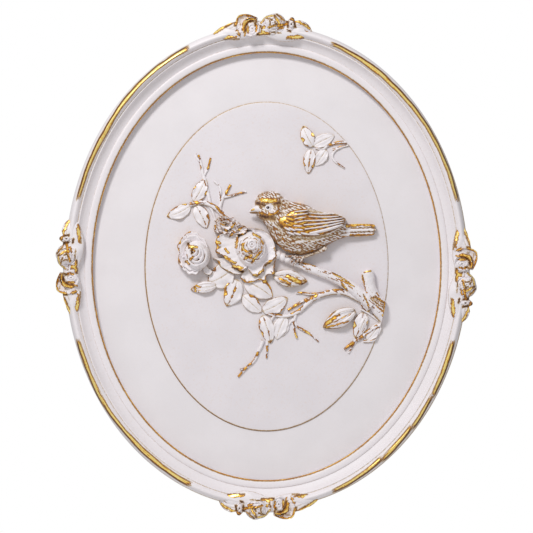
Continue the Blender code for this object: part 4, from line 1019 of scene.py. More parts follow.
run_line = ripple(spots[:, 0] * 0.23 + spots[:, 2] * 0.17, 8, (1.0, 2.2, 3.7))
upper = np.clip((facing[:, 2] * 0.7 - facing[:, 0] * 0.15 - facing[:, 1] * 0.35 - 0.42) / 0.3, 0, 1)
underside_shade = np.clip((-facing[:, 2] - 0.55) / 0.3, 0, 1)
gilded = np.clip(0.62 + 0.75 * run_line, 0, 0.95)
gilded = np.maximum(upper * gilded, brush(spots[:, 0], spots[:, 2], TWIG_GOLD) * (facing[:, 1] < 0.2)
                    * np.clip(0.85 + 0.45 * run_line, 0, 1.1))
# The undersides take brown as painted shade.
paint(twig_mesh, gilded, 0.46 * underside_shade * (run_line < 0.5) + 0.32 * upper * (run_line > -0.3))
place_piece("twigs", twig_mesh)

# Strokes on the branch and the trunk.
BRANCH_GOLD = [
    (30, 5, 38, 3, 1.1, 0.84), (37, 3.5, 51, 0.2, 0.99, 0.89), (33, 2, 40, -1, 0.88, 0.73),
    (39, -2.5, 44, -3, 0.88, 0.73), (52, -4, 62, -8, 0.66, 0.63), (58, -4.5, 70, -9, 0.66, 0.73),
    (66, -7, 80, -14, 0.88, 1), (70, -12, 79, -16, 0.66, 0.84), (76, -14, 88, -20, 0.77, 0.95),
    (78, -16.5, 86, -22, 0.66, 0.79), (74, -15, 81, -24, 0.88, 0.89), (60, -10, 72, -15, 0.55, 0.63),
    (95, -9, 97, -16, 0.88, 0.95), (97, -16, 100, -26, 0.77, 0.84), (97.5, -5, 104.5, -4.6, 0.99, 1.05),
    (104, -30, 120, -41, 0.77, 0.95), (108, -29, 121, -38, 0.66, 1), (103, -34, 118, -46, 0.66, 0.84),
    (110, -26, 113, -30, 0.88, 0.73), (106, -40, 117, -50, 0.55, 0.73), (119, -36, 116.5, -52, 0.88, 0.95),
    (98, -30, 104, -44, 0.77, 0.84), (91, -27, 97, -34, 0.66, 0.63)]
BRANCH_BROWN = [
    (66, -6, 74, -10.5, 0.72, 0.99), (74, -10.5, 84, -17, 0.6, 0.66), (96, -9, 97.5, -15, 0.6, 0.88),
    (107, -30, 121, -39, 0.6, 0.99), (104, -32, 119, -43, 0.48, 0.77), (98, -3.9, 104, -3.7, 0.6, 0.66),
    (97, -28, 103, -42, 0.6, 0.77), (75, -18, 80, -24, 0.6, 0.66), (28, 0, 60, -12, 0.6, 0.18),
    (102, -44, 114, -55, 0.72, 0.55)]
branch_mesh = grow_stems("branches", [MAIN_BRANCH, TRUNK], 0.7, 48, 1.5, 190.0, 9.0)
spots, facing = points_of(branch_mesh) / MM, normals_of(branch_mesh)
main_across = (spots[:, 0] - 5) * 0.45 + (spots[:, 2] - 15) * 0.89
trunk_across = (spots[:, 0] - 101) * 0.80 + (spots[:, 2] + 6) * 0.42
on_trunk = np.clip((spots[:, 0] - 96) / 4, 0, 1)
across = main_across * (1 - on_trunk) + trunk_across * on_trunk
along = (spots[:, 0] - 5) * 0.89 - (spots[:, 2] - 15) * 0.45
rough = np.clip((spots[:, 0] - 30) / 12, 0, 1)
grain_line = across * 2.6 + 0.9 * np.sin(along * 0.21) + 0.5 * np.sin(along * 0.5)
bark_lines = ripple(grain_line, 31, (1.0, 1.6, 2.3))
fronting = np.clip(-facing[:, 1] * 1.6, 0, 1)
spots[:, 1] -= 0.55 * np.minimum(bark_lines, 0.25) * rough * fronting
branch_mesh.vertices.foreach_set("co", (spots * MM).astype(np.float32).ravel())
trim_to_plate(branch_mesh)
broken = np.clip(0.88 + 0.55 * bark_lines, 0.2, 1.1)
gold = brush(spots[:, 0], spots[:, 2], BRANCH_GOLD) * broken * (facing[:, 1] < 0.1)
brown = brush(spots[:, 0], spots[:, 2], BRANCH_BROWN) * (facing[:, 1] < 0.2)
brown = np.maximum(brown, 0.22 * np.clip(-bark_lines - 0.35, 0, 1) * rough * fronting * 2)
paint(branch_mesh, gold, brown)
place_piece("branches", branch_mesh)

# Leaves of the relief: thin leaves that lie on the plate and are cast with it. Their edges stand free
# of it, with a groove along the midrib, and gold is rubbed on one edge or both.
LEAF_SEED = 50
LEAF_STAND = 1.2
# Base and tip (right, up), width, rise, bend, then gold on the left edge, right edge and vein, and
# brown at the tip.
LEAVES = [
    ((-76, 61), (-100, 50), 13.5, 3.2, 1.5, 0.25, 0.85, 0.0, 0.7),
    ((-71, 61), (-60, 38.5), 14.5, 3.2, 1.0, 0.85, 0.1, 0.6, 0.0),
    ((-73, 65), (-61, 88.5), 14, 3.0, -1.0, 0.75, 0.9, 0.35, 0.0),
    ((-34, -2), (-59, -16.5), 24, 4.0, 2.0, 0.15, 0.5, 0.0, 0.4),
    ((-29, -13), (-40, -40), 19, 4.2, 1.0, 0.0, 0.95, 0.75, 0.5),
    ((-22, -14), (6, -31), 21, 4.2, 1.5, 0.9, 0.25, 0.3, 0.0),
    ((-24, -29), (-5, -46), 14.5, 3.2, 0.0, 0.85, 0.1, 0.3, 0.0),
    ((-4, -45), (21, -31), 16, 3.6, -1.5, 0.45, 0.9, 0.0, 0.4),
    ((-4, -49), (4, -77), 15, 4.0, 1.0, 0.1, 0.8, 0.6, 0.9),
    ((19, -50), (10, -73), 14, 1.7, -1.0, 0.0, 0.1, 0.0, 0.2),
    ((97, -46), (89, -72), 14, 3.4, 1.0, 0.1, 0.9, 0.9, 0.5),
    ((101, -49), (93, -70), 9, 4.4, -1.5, 0.85, 0.4, 0.4, 0.5),
    ((114, -57), (100, -75), 11, 1.5, 0.5, 0.2, 0.0, 0.0, 0.5),
    ((93, -25), (103, -46), 10.5, 4.5, 0.5, 0.9, 0.8, 0.0, 0.6),
    ((47, 120), (36.5, 141), 13.5, 3.4, 1.0, 0.9, 0.9, 0.35, 0.8),
    ((45, 118), (41.5, 93), 12, 3.0, -0.5, 0.85, 0.7, 0.8, 0.4),
    ((47, 121), (68, 131.5), 13, 2.0, 0.5, 0.1, 0.2, 0.0, 0.2),
    ((60, 117), (49, 101), 12, 1.8, 0.0, 0.0, 0.1, 0.1, 0.0)]


def place_relief(name, casting, gold_strokes=(), brown_strokes=()):
    """Add a casting of the relief to the plaque."""
    place_piece(name, casting.mesh(name, highlight_relief_resin, gold_strokes, brown_strokes))


leaves = Casting(plate_seat, RELIEF_FLOOR)
for number, (base, tip, width, rise, bend, left, right, vein, wash_and_shade_level) in enumerate(LEAVES):
    leaf(leaves, (*base, LEAF_STAND), (*tip, LEAF_STAND), width, rise * 0.8, bend, left, right, vein, wash_and_shade_level,
         seed=LEAF_SEED + number, rows=48, columns=25)
place_relief("leaves", leaves)

# Roses and buds of the relief: three roses of open ruffled petals round tight hearts, and three closed
# buds, cast with the plate. Their rims are gilded and brown glaze lies in their folds.

# Open petals: line along the foot, line along the rim, heights of both, cup, pleats, gold, seed.
OPEN_PETALS = [
    ([(-27, 28), (-24, 36), (-16, 37)], [(-27, 34), (-20, 38.5), (-8, 38), (1, 33.5), (6, 27)],
     8, 8.5, 1.0, 0, 0.15, 201),
    ([(-18, 32), (-6, 30), (-1, 22), (0, 12)], [(-12, 37), (-3, 36), (4, 31), (8, 24), (9.5, 16)],
     9, 9, 1.2, 0, 0.2, 202),
    ([(-1, 16), (-5, 5), (-14, 0), (-22, 0)],
     [(10.5, 14), (10.8, 8), (8.5, -1), (8.6, -7.5), (3, -9), (0.4, -10.8), (-1.5, -15), (-7, -14.6),
      (-11.5, -15.4), (-17.5, -17.6), (-22, -16), (-26.4, -13)], 5, 6.4, 1.2, 0.6, 0.9, 203),
    ([(-1, 20), (-4, 9), (-11, 3), (-18, 2)],
     [(8.8, 19.5), (10.2, 14), (10, 9), (5, 4.2), (1, 3.2), (-2.6, 0.3), (-3.2, -4.6), (-6, -7.5),
      (-9.5, -9.6), (-14, -8.6), (-19, -3)], 8.5, 10, 1.2, 0.55, 1.0, 204),
    ([(-24, 10), (-22, 3), (-16, 0)],
     [(-54.4, 8), (-50, 5.6), (-46.4, -0.4), (-40, -5), (-32, -8), (-25, -7.6), (-20, -4)],
     5.5, 5.5, 1.0, 0.2, 0.3, 205),
    ([(-29, 34), (-28, 27), (-28, 20), (-26.5, 12), (-22, 4), (-18, 2)],
     [(-43, 34), (-49.5, 31), (-51.8, 26), (-51, 20), (-52, 15), (-45.5, 10.4), (-40, 5.8), (-34, -0.6),
      (-27, -5.0), (-19.5, -1.8)], 9, 9.5, 1.4, 0.7, 0.9, 206),
    ([(-40, 36), (-38, 42), (-34, 42)],
     [(-51, 40), (-51, 46), (-47.5, 50), (-42, 51.5), (-37, 49), (-34, 44)], 9, 10, 1.6, 0.5, 0.5, 207),
    ([(-38, 36), (-42, 38), (-42, 42)], [(-47, 32), (-52.5, 35), (-53, 41), (-49, 43), (-47, 46)],
     8, 8.4, 1.0, 0.5, 0.6, 208),
    ([(-30, 34), (-32, 38), (-34, 42)], [(-19, 33), (-18.6, 38.5), (-24, 39), (-27, 42.5), (-32, 44.5)],
     9, 9.6, 1.0, 0.6, 0.8, 209),
    ([(-34, 33), (-38, 34), (-40, 38)], [(-30, 31), (-37, 30), (-44, 33), (-46, 38), (-44, 42)],
     10, 11.4, 1.0, 0.8, 0.9, 210),
    ([(-34, 36), (-36, 38), (-37, 40)], [(-27, 34), (-30, 38), (-33, 41), (-37, 43.5), (-41, 42)],
     11, 12, 0.8, 0.8, 0.95, 211),
    ([(-60, 2), (-58, -2), (-56, -3)], [(-64, -2), (-62, -7), (-57, -8.5), (-54, -5)],
     4.5, 5, 0.8, 0, 0.15, 212)]

roses = Casting(plate_seat, RELIEF_FLOOR)
for foot, rim, foot_height, rim_height, cup, pleats, gold, seed in OPEN_PETALS:
    open_petal(roses, foot, rim, foot_height, rim_height, cup, pleats, gold, seed)
# Left rose: a ruffled outer cup round a globe that opens to the upper left.
for centre, radii, count, outer, inner, height, sink, turn, seed, gold, ruffle in (
        ((-74, 13.5), (15.5, 21.5), 6, 1.0, 0.60, 8.4, 3.6, 0.5, 61, 0.8, 0.05),
        ((-73.5, 13.5), (13.5, 18.5), 5, 0.98, 0.55, 10.4, 4.4, 0.2, 62, 0.3, 0.04)):
    petal_ring(roses, centre, radii, count, outer, inner, height, sink, turn, seed, gold, ruffle=ruffle,
               gold_from=3.0)
heart(roses, (1.0, 1.12), [
    ((-69.5, 11.2), 8.8, 13.0, 15.2, 7.5, 3, -0.6, 0.2), ((-70.6, 12.6), 6.8, 9.5, 16.6, 4.0, 3, 0.5, 0.25),
    ((-71.8, 14.2), 4.8, 7.6, 17.4, 3.4, 3, -0.2, 0.6), ((-73.0, 15.8), 2.9, 5.4, 17.6, 2.6, 2, 0.9, 1.0),
    ((-73.6, 16.6), 1.1, 3.0, 17.2, 2.0, 2, 0.2, 1.0)], 0, gold_to=2.4)
# Upper rose: small, frilly and speckled.
petal_ring(roses, (-38.5, 41), (11.5, 8.5), 6, 1.0, 0.45, 11.6, 3.4, 0.3, 68, 0.75, ruffle=0.12)
petal_ring(roses, (-39.5, 41.5), (10.0, 7.2), 5, 0.68, 0.18, 13.4, 3.0, 0.9, 69, 0.8, ruffle=0.12)
petal_ring(roses, (-27.5, 37), (8.0, 5.2), 4, 1.0, 0.35, 11.2, 3.0, 0.4, 70, 0.8, ruffle=0.12)
# Centre rose: a tight spiral heart.
heart(roses, (0.98, 1.06), [
    ((-15.2, 17.6), 12.6, 16.4, 15.4, 8.5, 4, 0.9, 0.55),
    ((-15.0, 18.6), 10.2, 13.4, 17.6, 5.0, 3, -0.5, 0.8),
    ((-14.8, 19.8), 7.8, 10.8, 19.4, 4.0, 3, 0.6, 0.9), ((-14.6, 21.0), 5.4, 8.2, 20.6, 3.4, 2, 2.4, 0.7),
    ((-14.4, 21.8), 3.3, 5.8, 21.3, 2.6, 2, 0.9, 0.25),
    ((-14.4, 22.2), 1.2, 3.4, 21.2, 2.0, 2, 2.2, 0.1)], 3)
ROSE_GOLD = [
    (-85.5, 28.5, -86.8, 23, 0.9, 0.88), (-87.6, 17.6, -88.5, 14.8, 0.9, 0.88),
    (-89, 10.3, -86.7, 4.8, 0.8, 0.88), (-82.6, 32.1, -76.3, 34.4, 0.8, 0.72),
    (-77.2, 20.3, -69.4, 19.4, 1.3, 1.1), (-73.5, 17.6, -71.7, 15.7, 1, 1.04),
    (-75.8, 7.6, -74, 9.4, 1.2, 0.88), (-79.9, 5.3, -77.6, 3, 1.1, 0.94), (-79.6, 12, -78.6, 8, 0.7, 0.66),
    (-50.8, 25.6, -47.4, 23.4, 1.7, 1.1), (-41.3, 17.6, -38.1, 13.9, 1.2, 1.04),
    (-41.7, 10.3, -37.2, 7.6, 1.1, 0.99), (-36.3, 5.7, -30.8, 3.9, 1.1, 0.99),
    (-32.6, 0.3, -24.4, -1.5, 1.4, 1.1), (-29, 28.5, -29.9, 18.5, 1.1, 0.99),
    (-24, 23, -23.1, 16.6, 1, 1.04), (-23.1, 16.6, -18.1, 14.8, 1, 1.04),
    (-27.2, 31.2, -23.5, 32.5, 0.9, 0.88), (-13.5, 32.7, -6.3, 28.7, 0.9, 0.99),
    (-6.3, 28.7, -3.1, 22.1, 0.9, 0.94), (-20.8, 8.5, -15.3, 10.3, 1.3, 0.99),
    (-13.5, 5.7, -9, 11.2, 1.2, 1.04), (-9, 11.2, -5.3, 14.8, 1.1, 0.94), (3.7, 5.7, 0.1, 3, 0.9, 0.99),
    (-3.5, -3.4, -9, -8.8, 1.2, 0.99), (-9, -8.8, -13.5, -8.6, 1.1, 1.04),
    (5.6, -9.2, -0.8, -10.6, 0.9, 0.94), (-1.7, -14.3, -7.2, -15.4, 0.9, 1.04),
    (-12.6, -14.8, -18.1, -16.8, 0.9, 0.94), (-25.8, -14, -22, -15.6, 0.8, 0.77),
    (-48.1, 5.7, -47.2, 3, 0.8, 0.83), (-45.3, 45.7, -39.9, 47.6, 0.8, 0.66),
    (-39.9, 47.6, -36.3, 44.8, 0.8, 0.77), (-44.5, 42.1, -41, 41.5, 0.9, 0.88),
    (-34.4, 39.4, -31.7, 43, 1.1, 1.04), (-40.9, 36.7, -38.9, 35.8, 1, 0.99),
    (-27.2, 36.7, -25.3, 38.5, 1.1, 1.1), (-33.6, 35.4, -31.6, 34.2, 0.9, 0.94),
    (-51.2, 41, -50.6, 37.4, 0.8, 0.94), (-36.3, 30.3, -34.4, 32.1, 1.1, 0.99),
    (-49.6, 31.8, -48.4, 29.8, 0.8, 0.88), (-47.4, 49, -45, 46.6, 0.7, 0.66)]
ROSE_BROWN = [
    (-78.1, 23, -77.2, 18.5, 0.92, 0.99), (-74.9, 16.6, -74.4, 13.4, 0.92, 1.04),
    (-76.2, 7.2, -74.2, 8.6, 1.03, 0.88), (-80.4, 5, -77, 2.4, 0.92, 0.77),
    (-89.4, 12, -86.8, 3.6, 0.57, 0.66), (-35.5, 4.8, -31, 3.2, 0.8, 1.04),
    (-33.4, -0.8, -24, -5.2, 1.03, 1.04), (-41.9, 9.6, -37.4, 6.8, 0.69, 0.77),
    (-14.4, 3.9, -10.8, 9.4, 0.8, 1.04), (-16, 15.2, -14.6, 14.4, 0.92, 1.04),
    (-13.3, 33.3, -5.6, 29.2, 0.57, 0.77), (-30.4, 27, -30.8, 19, 0.57, 0.66),
    (-24.8, 22, -23.9, 16.4, 0.57, 0.77), (-4, -4.4, -9.4, -9.6, 0.57, 0.88),
    (4.2, 4.8, -1.6, 0.6, 0.57, 0.88), (6.4, -9.2, 0.4, -11, 0.57, 0.88),
    (-2, -15.2, -11, -15.8, 0.57, 0.94), (-12, -15.6, -19, -17.6, 0.57, 0.77),
    (-27.6, 36.2, -25, 38.8, 0.8, 0.99), (-23, 39.8, -19.4, 39.4, 0.69, 0.88),
    (-34.8, 38.8, -32.2, 42.4, 0.57, 0.88), (-41.4, 36, -39.4, 35.2, 0.69, 0.88),
    (-37, 29.8, -34.6, 31.4, 0.57, 0.77), (-51.4, 26.6, -52, 15.4, 0.57, 0.66),
    (-51.8, 15, -44, 9.4, 0.57, 0.83), (10.6, 13, 10.4, 8.4, 0.57, 0.66), (-54.4, 8, -50, 5.6, 0.69, 0.77),
    (-46.4, -0.6, -32, -8, 0.57, 0.66), (-44, 44.6, -40.6, 43.8, 0.57, 0.55)]
place_relief("roses", roses, ROSE_GOLD, ROSE_BROWN)


def bud(casting, base, tip, radius, seed):
    """Add a closed bud: a round core between lapping sepals, with gold on the core and the edges."""
    base, tip = np.asarray(base, float), np.asarray(tip, float)
    run = (tip - base) / np.linalg.norm(tip - base)
    side = np.array([-run[1], run[0]])
    length = np.linalg.norm(tip - base)
    leaf(casting, (*base, 2.0), (*tip, 2.0), radius * 2.0, radius * 0.72, 0.0, 0.5, 0.5, 0.0, 0.4, seed=seed)
    core, core_tip = base + run * length * 0.18, tip - run * 2.5
    leaf(casting, (*core, radius * 0.62), (*core_tip, radius * 0.55), radius * 0.95, radius * 0.42, 0.3,
         0.95, 0.95, 0.95, 0.5, seed=seed + 1)
    for number, offset in enumerate((0.46, -0.5)):
        start = base + side * offset * radius * 0.35
        finish = tip - side * offset * radius * 0.15 - run * (1.2 if offset > 0 else 0.2)
        leaf(casting, (*start, radius * 0.45), (*finish, radius * 0.40), radius * 0.86, radius * 0.62,
             offset * radius * 1.15, 0.9 if offset < 0 else 0.35, 0.9 if offset > 0 else 0.35, 0.0, 0.5,
             seed=seed + 2 + number)


buds = Casting(plate_seat, RELIEF_FLOOR)
bud(buds, (7, -9), (41, -15), 8.2, 90)
bud(buds, (89, -44), (56.5, -61), 8.6, 94)
bud(buds, (-50, -19), (-76, -23), 5.6, 98)
BUD_GOLD = [
    (21, -9.6, 33.5, -15.6, 1.9, 1.0), (13, -12, 24, -17, 1.2, 0.85), (60.2, -56.9, 68.2, -50.9, 1.9, 1.0),
    (68, -51, 73.4, -48, 1.2, 0.75), (60.2, -61.2, 82, -54.6, 1.0, 0.85), (60.5, -52.5, 66, -47, 0.8, 0.7),
    (-72.6, -18.8, -65.3, -20.6, 1.0, 0.85), (-71.4, -22, -70.8, -25.2, 1.0, 0.9),
    (-68.1, -24.6, -67.6, -27, 0.7, 0.7)]
BUD_BROWN = [
    (31, -15.6, 36.5, -17.6, 1.2, 0.94), (14, -15, 24, -18.6, 0.6, 0.77), (22, -12.6, 33, -18, 0.6, 0.66),
    (60, -58, 66, -55, 0.96, 0.88), (60.4, -48.4, 69, -45.2, 0.72, 0.77),
    (59, -62.4, 74, -62.6, 0.72, 0.88), (38, -17.4, 40, -14.8, 0.84, 0.88),
    (14, -19.6, 36, -19.8, 0.6, 0.44), (-74, -19, -71, -22, 0.96, 0.77)]
place_relief("rosebuds", buds, BUD_GOLD, BUD_BROWN)

# Bird: a songbird perched on the branch, cast with the plate. Its body is furred with short feathers,
# its wing and tail are long smooth feathers with gold in the gaps between them.
BIRD_START, BIRD_LENGTH = -12.5, 96.5
BIRD_ROWS, BIRD_COLUMNS = 210, 91
EYE = (1.5, 58.6)
# Its outline above and below, and its height over the plate, all against the place to the right.
BIRD_TOP = [
    (-12.5, 59.5), (-11.9, 63.2), (-9.8, 69.7), (-5, 73.8), (0, 75.2), (6, 75.4), (11.9, 74.1),
    (18.4, 67.6), (26, 64.9), (40.1, 61.7), (51, 55.6), (61.8, 51.5), (75, 45.6), (84, 42)]
BIRD_BOTTOM = [
    (-12.5, 57), (-11.5, 53.5), (-9, 50.5), (-1.1, 41.5), (6.5, 26.4), (13, 19.9), (22.8, 13.3),
    (33.6, 11.2), (45.5, 13.3), (58.6, 19.9), (70.5, 26.4), (84, 31)]
BIRD_HEIGHT = [
    (-12.5, 8), (-9, 14), (-5, 18.5), (0, 20.5), (8, 20.5), (15, 20), (20, 21.5), (30, 22), (40, 21.5),
    (50, 20), (62, 16), (74, 11), (84, 7.5)]
BIRD_GOLD = [
    (-5, 65.8, 9, 65.2, 2.6, 1.15), (-8, 63.5, -4, 61.5, 1.6, 0.8), (9, 65, 13, 64, 1.6, 0.8),
    (-6.5, 53.2, 1, 51.2, 1.5, 0.9), (1, 51.2, 8, 52, 1.6, 0.9), (8, 52, 12.5, 56.5, 1.4, 0.8),
    (15.5, 46, 24, 48, 3.2, 1.2), (13.5, 43, 20, 40, 2.4, 0.95), (18, 41, 26, 36, 2.0, 0.8),
    (28, 64, 37, 62.5, 1.2, 0.75), (55, 53.6, 66, 50.5, 1.0, 0.8), (2, 34, 8, 26, 1.3, 0.8),
    (-2, 42, 3, 32, 1.0, 0.7), (8, 25, 18, 16.5, 1.2, 0.75), (18, 16.5, 34, 12.5, 1.4, 0.8),
    (34, 12.5, 48, 15.5, 1.5, 0.8), (48, 15.5, 66, 24.5, 1.4, 0.7), (7, 39, 10, 37, 1.6, 0.7),
    (9, 33, 13, 31, 1.4, 0.7), (16, 28, 19, 25, 1.6, 0.75), (28, 22, 36, 21, 1.4, 0.6),
    (24, 30, 30, 27.5, 1.0, 0.5), (44, 52.5, 58, 50, 0.8, 0.6)]
# Brown strokes. Those under the cheek, along the lower edge of the belly and under the wing are painted
# shade.
BIRD_BROWN_AND_SHADE = [
    (-10, 63.6, -3, 61.4, 1.9, 1.0), (8, 62.8, 13.5, 63.6, 1.7, 1.0), (-6, 50.6, 1, 48.9, 1.4, 1.1),
    (1, 48.9, 7, 49.6, 1.1, 0.9), (-3, 62.2, -0.5, 60.6, 1.2, 0.9), (13, 41.5, 20, 36.5, 1.6, 0.9),
    (20, 36.5, 28, 30.5, 1.3, 0.9), (20, 14, 46, 13.5, 1.2, 0.5), (46, 13.5, 70, 25.5, 1.3, 0.6),
    (3, 30, 12, 20, 1.0, 0.5), (-11, 64, -4, 73.5, 0.9, 0.4), (-6, 45, 0, 38.5, 0.9, 0.6),
    (18, 26.5, 21, 24, 0.9, 0.7), (10, 37.5, 12, 36, 0.8, 0.6), (24, 28.6, 44, 26.4, 1.0, 0.42),
    (44, 26.4, 66, 31.6, 1.0, 0.42)]


def along_line(table, x):
    """Read a smooth line through a table at some places."""
    line = smooth_run(table, 0.5)
    order = np.argsort(line[:, 0])
    return np.interp(x, line[order, 0], line[order, 1])


def tufts(x, z, seed, size, lean=0.35):
    """Give a field between about -1 and 1 that runs in short streaks, like small feathers."""
    draw = np.random.default_rng(seed)
    field = 0.0
    for _ in range(26):
        angle, phase = draw.normal(math.pi / 2 + lean, 0.55), draw.uniform(0, 2 * math.pi)
        wave = 2 * math.pi / size * draw.uniform(0.55, 1.5)
        field = field + np.sin((x * math.cos(angle) * 0.8 + z * math.sin(angle)) * wave + phase)
    return field / 6.5


bird = Casting(plate_seat, RELIEF_FLOOR)
shares = 0.5 - 0.5 * np.cos(np.linspace(0.0, math.pi, BIRD_ROWS))
station = BIRD_START + BIRD_LENGTH * shares[:, None] ** 0.9
lap = np.linspace(0.0, math.pi, BIRD_COLUMNS)[None, :]
top, bottom = along_line(BIRD_TOP, station), along_line(BIRD_BOTTOM, station)
x = station * np.ones_like(lap)
z = (top + bottom) / 2 + (top - bottom) / 2 * np.cos(lap)
h = along_line(BIRD_HEIGHT, station) * np.sin(lap) ** 0.72
brow = brush(x, z, [(-5.5, 65, 2, 67, 2.8, 1.0), (2, 67, 11, 65, 2.8, 1.0)])
cheek = brush(x, z, [(-6.5, 53.5, 1, 51.8, 2.0, 1.0), (1, 51.8, 8, 52.6, 2.0, 1.0),
                     (8, 52.6, 12, 57, 1.8, 0.8)])
crease = near_line(x, z, (-8, 48), (8, 47), 1.5) + 0.6 * near_line(x, z, (8, 47), (20, 60), 2.0)
socket = np.exp(-(((x - 2.4) / 5.0) ** 2 + ((z - 58.9) / 3.4) ** 2) ** 1.5)
head = np.clip((16 - x) / 6, 0, 1) * np.clip((z - 44) / 6, 0, 1)
turned = np.clip((x - 4) / 22, 0, 1)
fur = tufts(x, z, 41, 2.3, -1.0) * (1 - turned) + tufts(x, z, 48, 2.3, -0.3) * turned
fur = fur * np.clip((x + 11) / 6, 0, 1) * np.sin(lap) ** 0.4 * (1 - socket)
h = h + 1.1 * brow + 1.2 * cheek - 1.0 * crease - 0.9 * socket + (0.42 - 0.18 * head) * fur
shoulder = np.exp(-(((x - 20) / 9) ** 2 + ((z - 44.5) / 7) ** 2))
h = h + 1.6 * shoulder
body_grid = np.dstack([x, z, np.maximum(h, RELIEF_FLOOR + LEAST_RISE)])
mottle = np.clip(0.5 + 0.6 * tufts(x, z, 43, 6.5, 0.1), 0, 1)
stipple = np.clip(0.5 + 0.7 * tufts(x, z, 42, 2.2), 0, 1)
plain = np.maximum(socket, 0.8 * near_line(x, z, (30, 24), (60, 30), 1.5))
plain = plain + 0.4 * near_line(x, z, (4, 47), (12, 36), 2.5)
washed = (1 - np.clip(plain, 0, 1)) * np.clip((x + 11.5) / 3, 0, 1)
white_tips = np.clip((fur + 0.36 + 1.1 * (mottle - 0.5) + 0.7 * (stipple - 0.5)) / 0.92, 0, 1)
gilt = (0.52 + 0.26 * mottle - 0.54 * white_tips) * washed * (0.62 + 0.4 * stipple)
gilt = np.maximum(gilt, brush(x, z, BIRD_GOLD) * (0.80 + 0.28 * stipple))
glaze = np.clip(0.40 - 0.30 * fur - 0.28 * white_tips, 0.06, 0.9) * washed
glaze = np.maximum(glaze, brush(x, z, BIRD_BROWN_AND_SHADE) * (0.75 + 0.3 * stipple))
gilt = gilt * (1 - 0.75 * np.clip(brush(x, z, BIRD_BROWN_AND_SHADE), 0, 1))
# Painted shade lies in the crease under the cheek.
glaze = np.maximum(glaze, 0.5 * crease * (x < 10))
bird.sheet(body_grid, gilt, glaze)

# Eye: a white ring round a small dark pupil.
ring_turns = np.linspace(0.0, 2 * math.pi, 25)
ring_path = [(EYE[0] + 2.3 * math.cos(a), EYE[1] + 2.1 * math.sin(a), 19.9) for a in ring_turns[:-1]]
rod(bird, ring_path + ring_path[:2], [0.8] * 26, 0.0, 0.0, sides=10)
pupil = [(EYE[0], EYE[1] + rise, height) for rise, height in ((0.0, 18.2), (0.02, 19.8), (0.04, 20.4))]
rod(bird, pupil, [1.5, 1.4, 0.9], 0.0, 1.1, sides=16)
rod(bird, [(1.1, 59.2, 20.2), (1.1, 59.22, 20.8)], [0.38, 0.28], 0.0, 0.0, sides=8)

# Beak: a short cone in two halves, the upper one lapping the lower.
upper_beak = smooth_run([(-5, 57.8, 12.5), (-9, 57.7, 12), (-13, 56.6, 10), (-16, 55.4, 8.6),
                         (-17.8, 54.6, 7.8)], 0.8)
lower_beak = smooth_run([(-5, 55.0, 11), (-9, 54.8, 10.2), (-13, 54.0, 8.8), (-16.4, 53.8, 7.6)], 0.8)
rod(bird, upper_beak, np.linspace(4.4, 0.7, len(upper_beak)), 0.0, 0.05, sides=20)
rod(bird, lower_beak, np.linspace(3.0, 0.6, len(lower_beak)), 0.0, 0.55, sides=20)
rod(bird, [(-12.4, 57.2, 13.4), (-15.2, 56.2, 11.0)], [1.0, 0.7], 0.9, 0.0, sides=12)


def feather(casting, root, tip, width, gold_left, gold_right, seed, bend=0.0, rows=30, columns=15,
            blunt=0.25, brown=0.5):
    """Add a feather from its root to its round tip, with a shaft, fine barbs and gold along its sides."""
    root, tip = np.asarray(root, float), np.asarray(tip, float)
    along, across, run, side, length = blade(root, tip, rows, columns)
    close = np.clip((1 - along) / blunt, 0, 1)
    rounding = np.sqrt(np.clip(1 - (1 - close) ** 2, 0.0004, 1))
    half = width / 2 * (0.75 + 0.25 * np.sin(along * math.pi)) * rounding
    spot = root[:2] + run * (along * length)[:, :, None] + side * (across * half)[:, :, None]
    spot = spot + side * (bend * np.sin(along * math.pi))[:, :, None]
    barbs = 0.10 * np.sin((along * length / 1.3 - np.abs(across) * 1.2) * 2 * math.pi)
    shaft = 0.25 * hump(across, 0.0, 0.12)
    height = root[2] + (tip[2] - root[2]) * along + (1 - across ** 2) + shaft
    height = height + barbs * (np.abs(across) < 0.93)
    grid = np.dstack([spot, np.maximum(height, casting.floor + LEAST_RISE)])
    streak = np.clip(0.75 + 0.5 * ripple(along * 12, seed, (1.0, 2.1)), 0.3, 1)
    gilt = (gold_left * hump(across, 1.0, 0.30) + gold_right * hump(across, -1.0, 0.30)) * streak
    edges = hump(across, 1.0, 0.10) * (gold_left > 0.3) + hump(across, -1.0, 0.10) * (gold_right > 0.3)
    casting.sheet(grid, gilt, brown * edges + 0.4 * hump(along, 1.0, 0.02))


# Wing: a white-edged mound of long feathers that converge at its tip, with short ones over their roots.
# Root and tip (right, up, height), width, and gold on the left and right edges.
LONG_FEATHERS = [
    ((42, 53.4, 20.2), (66, 52.6, 15.0), 1.5, 0.5, 0.5),
    ((42, 50.0, 21.6), (73, 50.2, 14.6), 1.6, 0.5, 0.5),
    ((38, 45.6, 22.6), (77.5, 48.6, 14.2), 1.7, 0.5, 0.5),
    ((37, 41.4, 23.0), (78.5, 46.6, 14.2), 1.8, 0.5, 0.5),
    ((38, 37.2, 22.6), (78, 44.6, 14.0), 1.8, 0.5, 0.5),
    ((43, 33.0, 21.6), (76.5, 42.0, 13.8), 3.2, 0.5, 0.0)]
WING_MOUND = ([(17, 36), (24, 31.5), (33, 28.2), (44, 27.6), (56, 29.8), (67, 34.4), (75, 40), (78.5, 45)],
              [(17, 48), (23, 54.5), (34, 57.4), (45, 56.4), (56, 54.2), (66, 53.4), (74, 51.4), (79, 48)])
WING_LEVEL = ([16, 30, 45, 60, 79], [21.8, 23.6, 22.2, 19.3, 14.4])
wing = Casting(plate_seat, RELIEF_FLOOR)
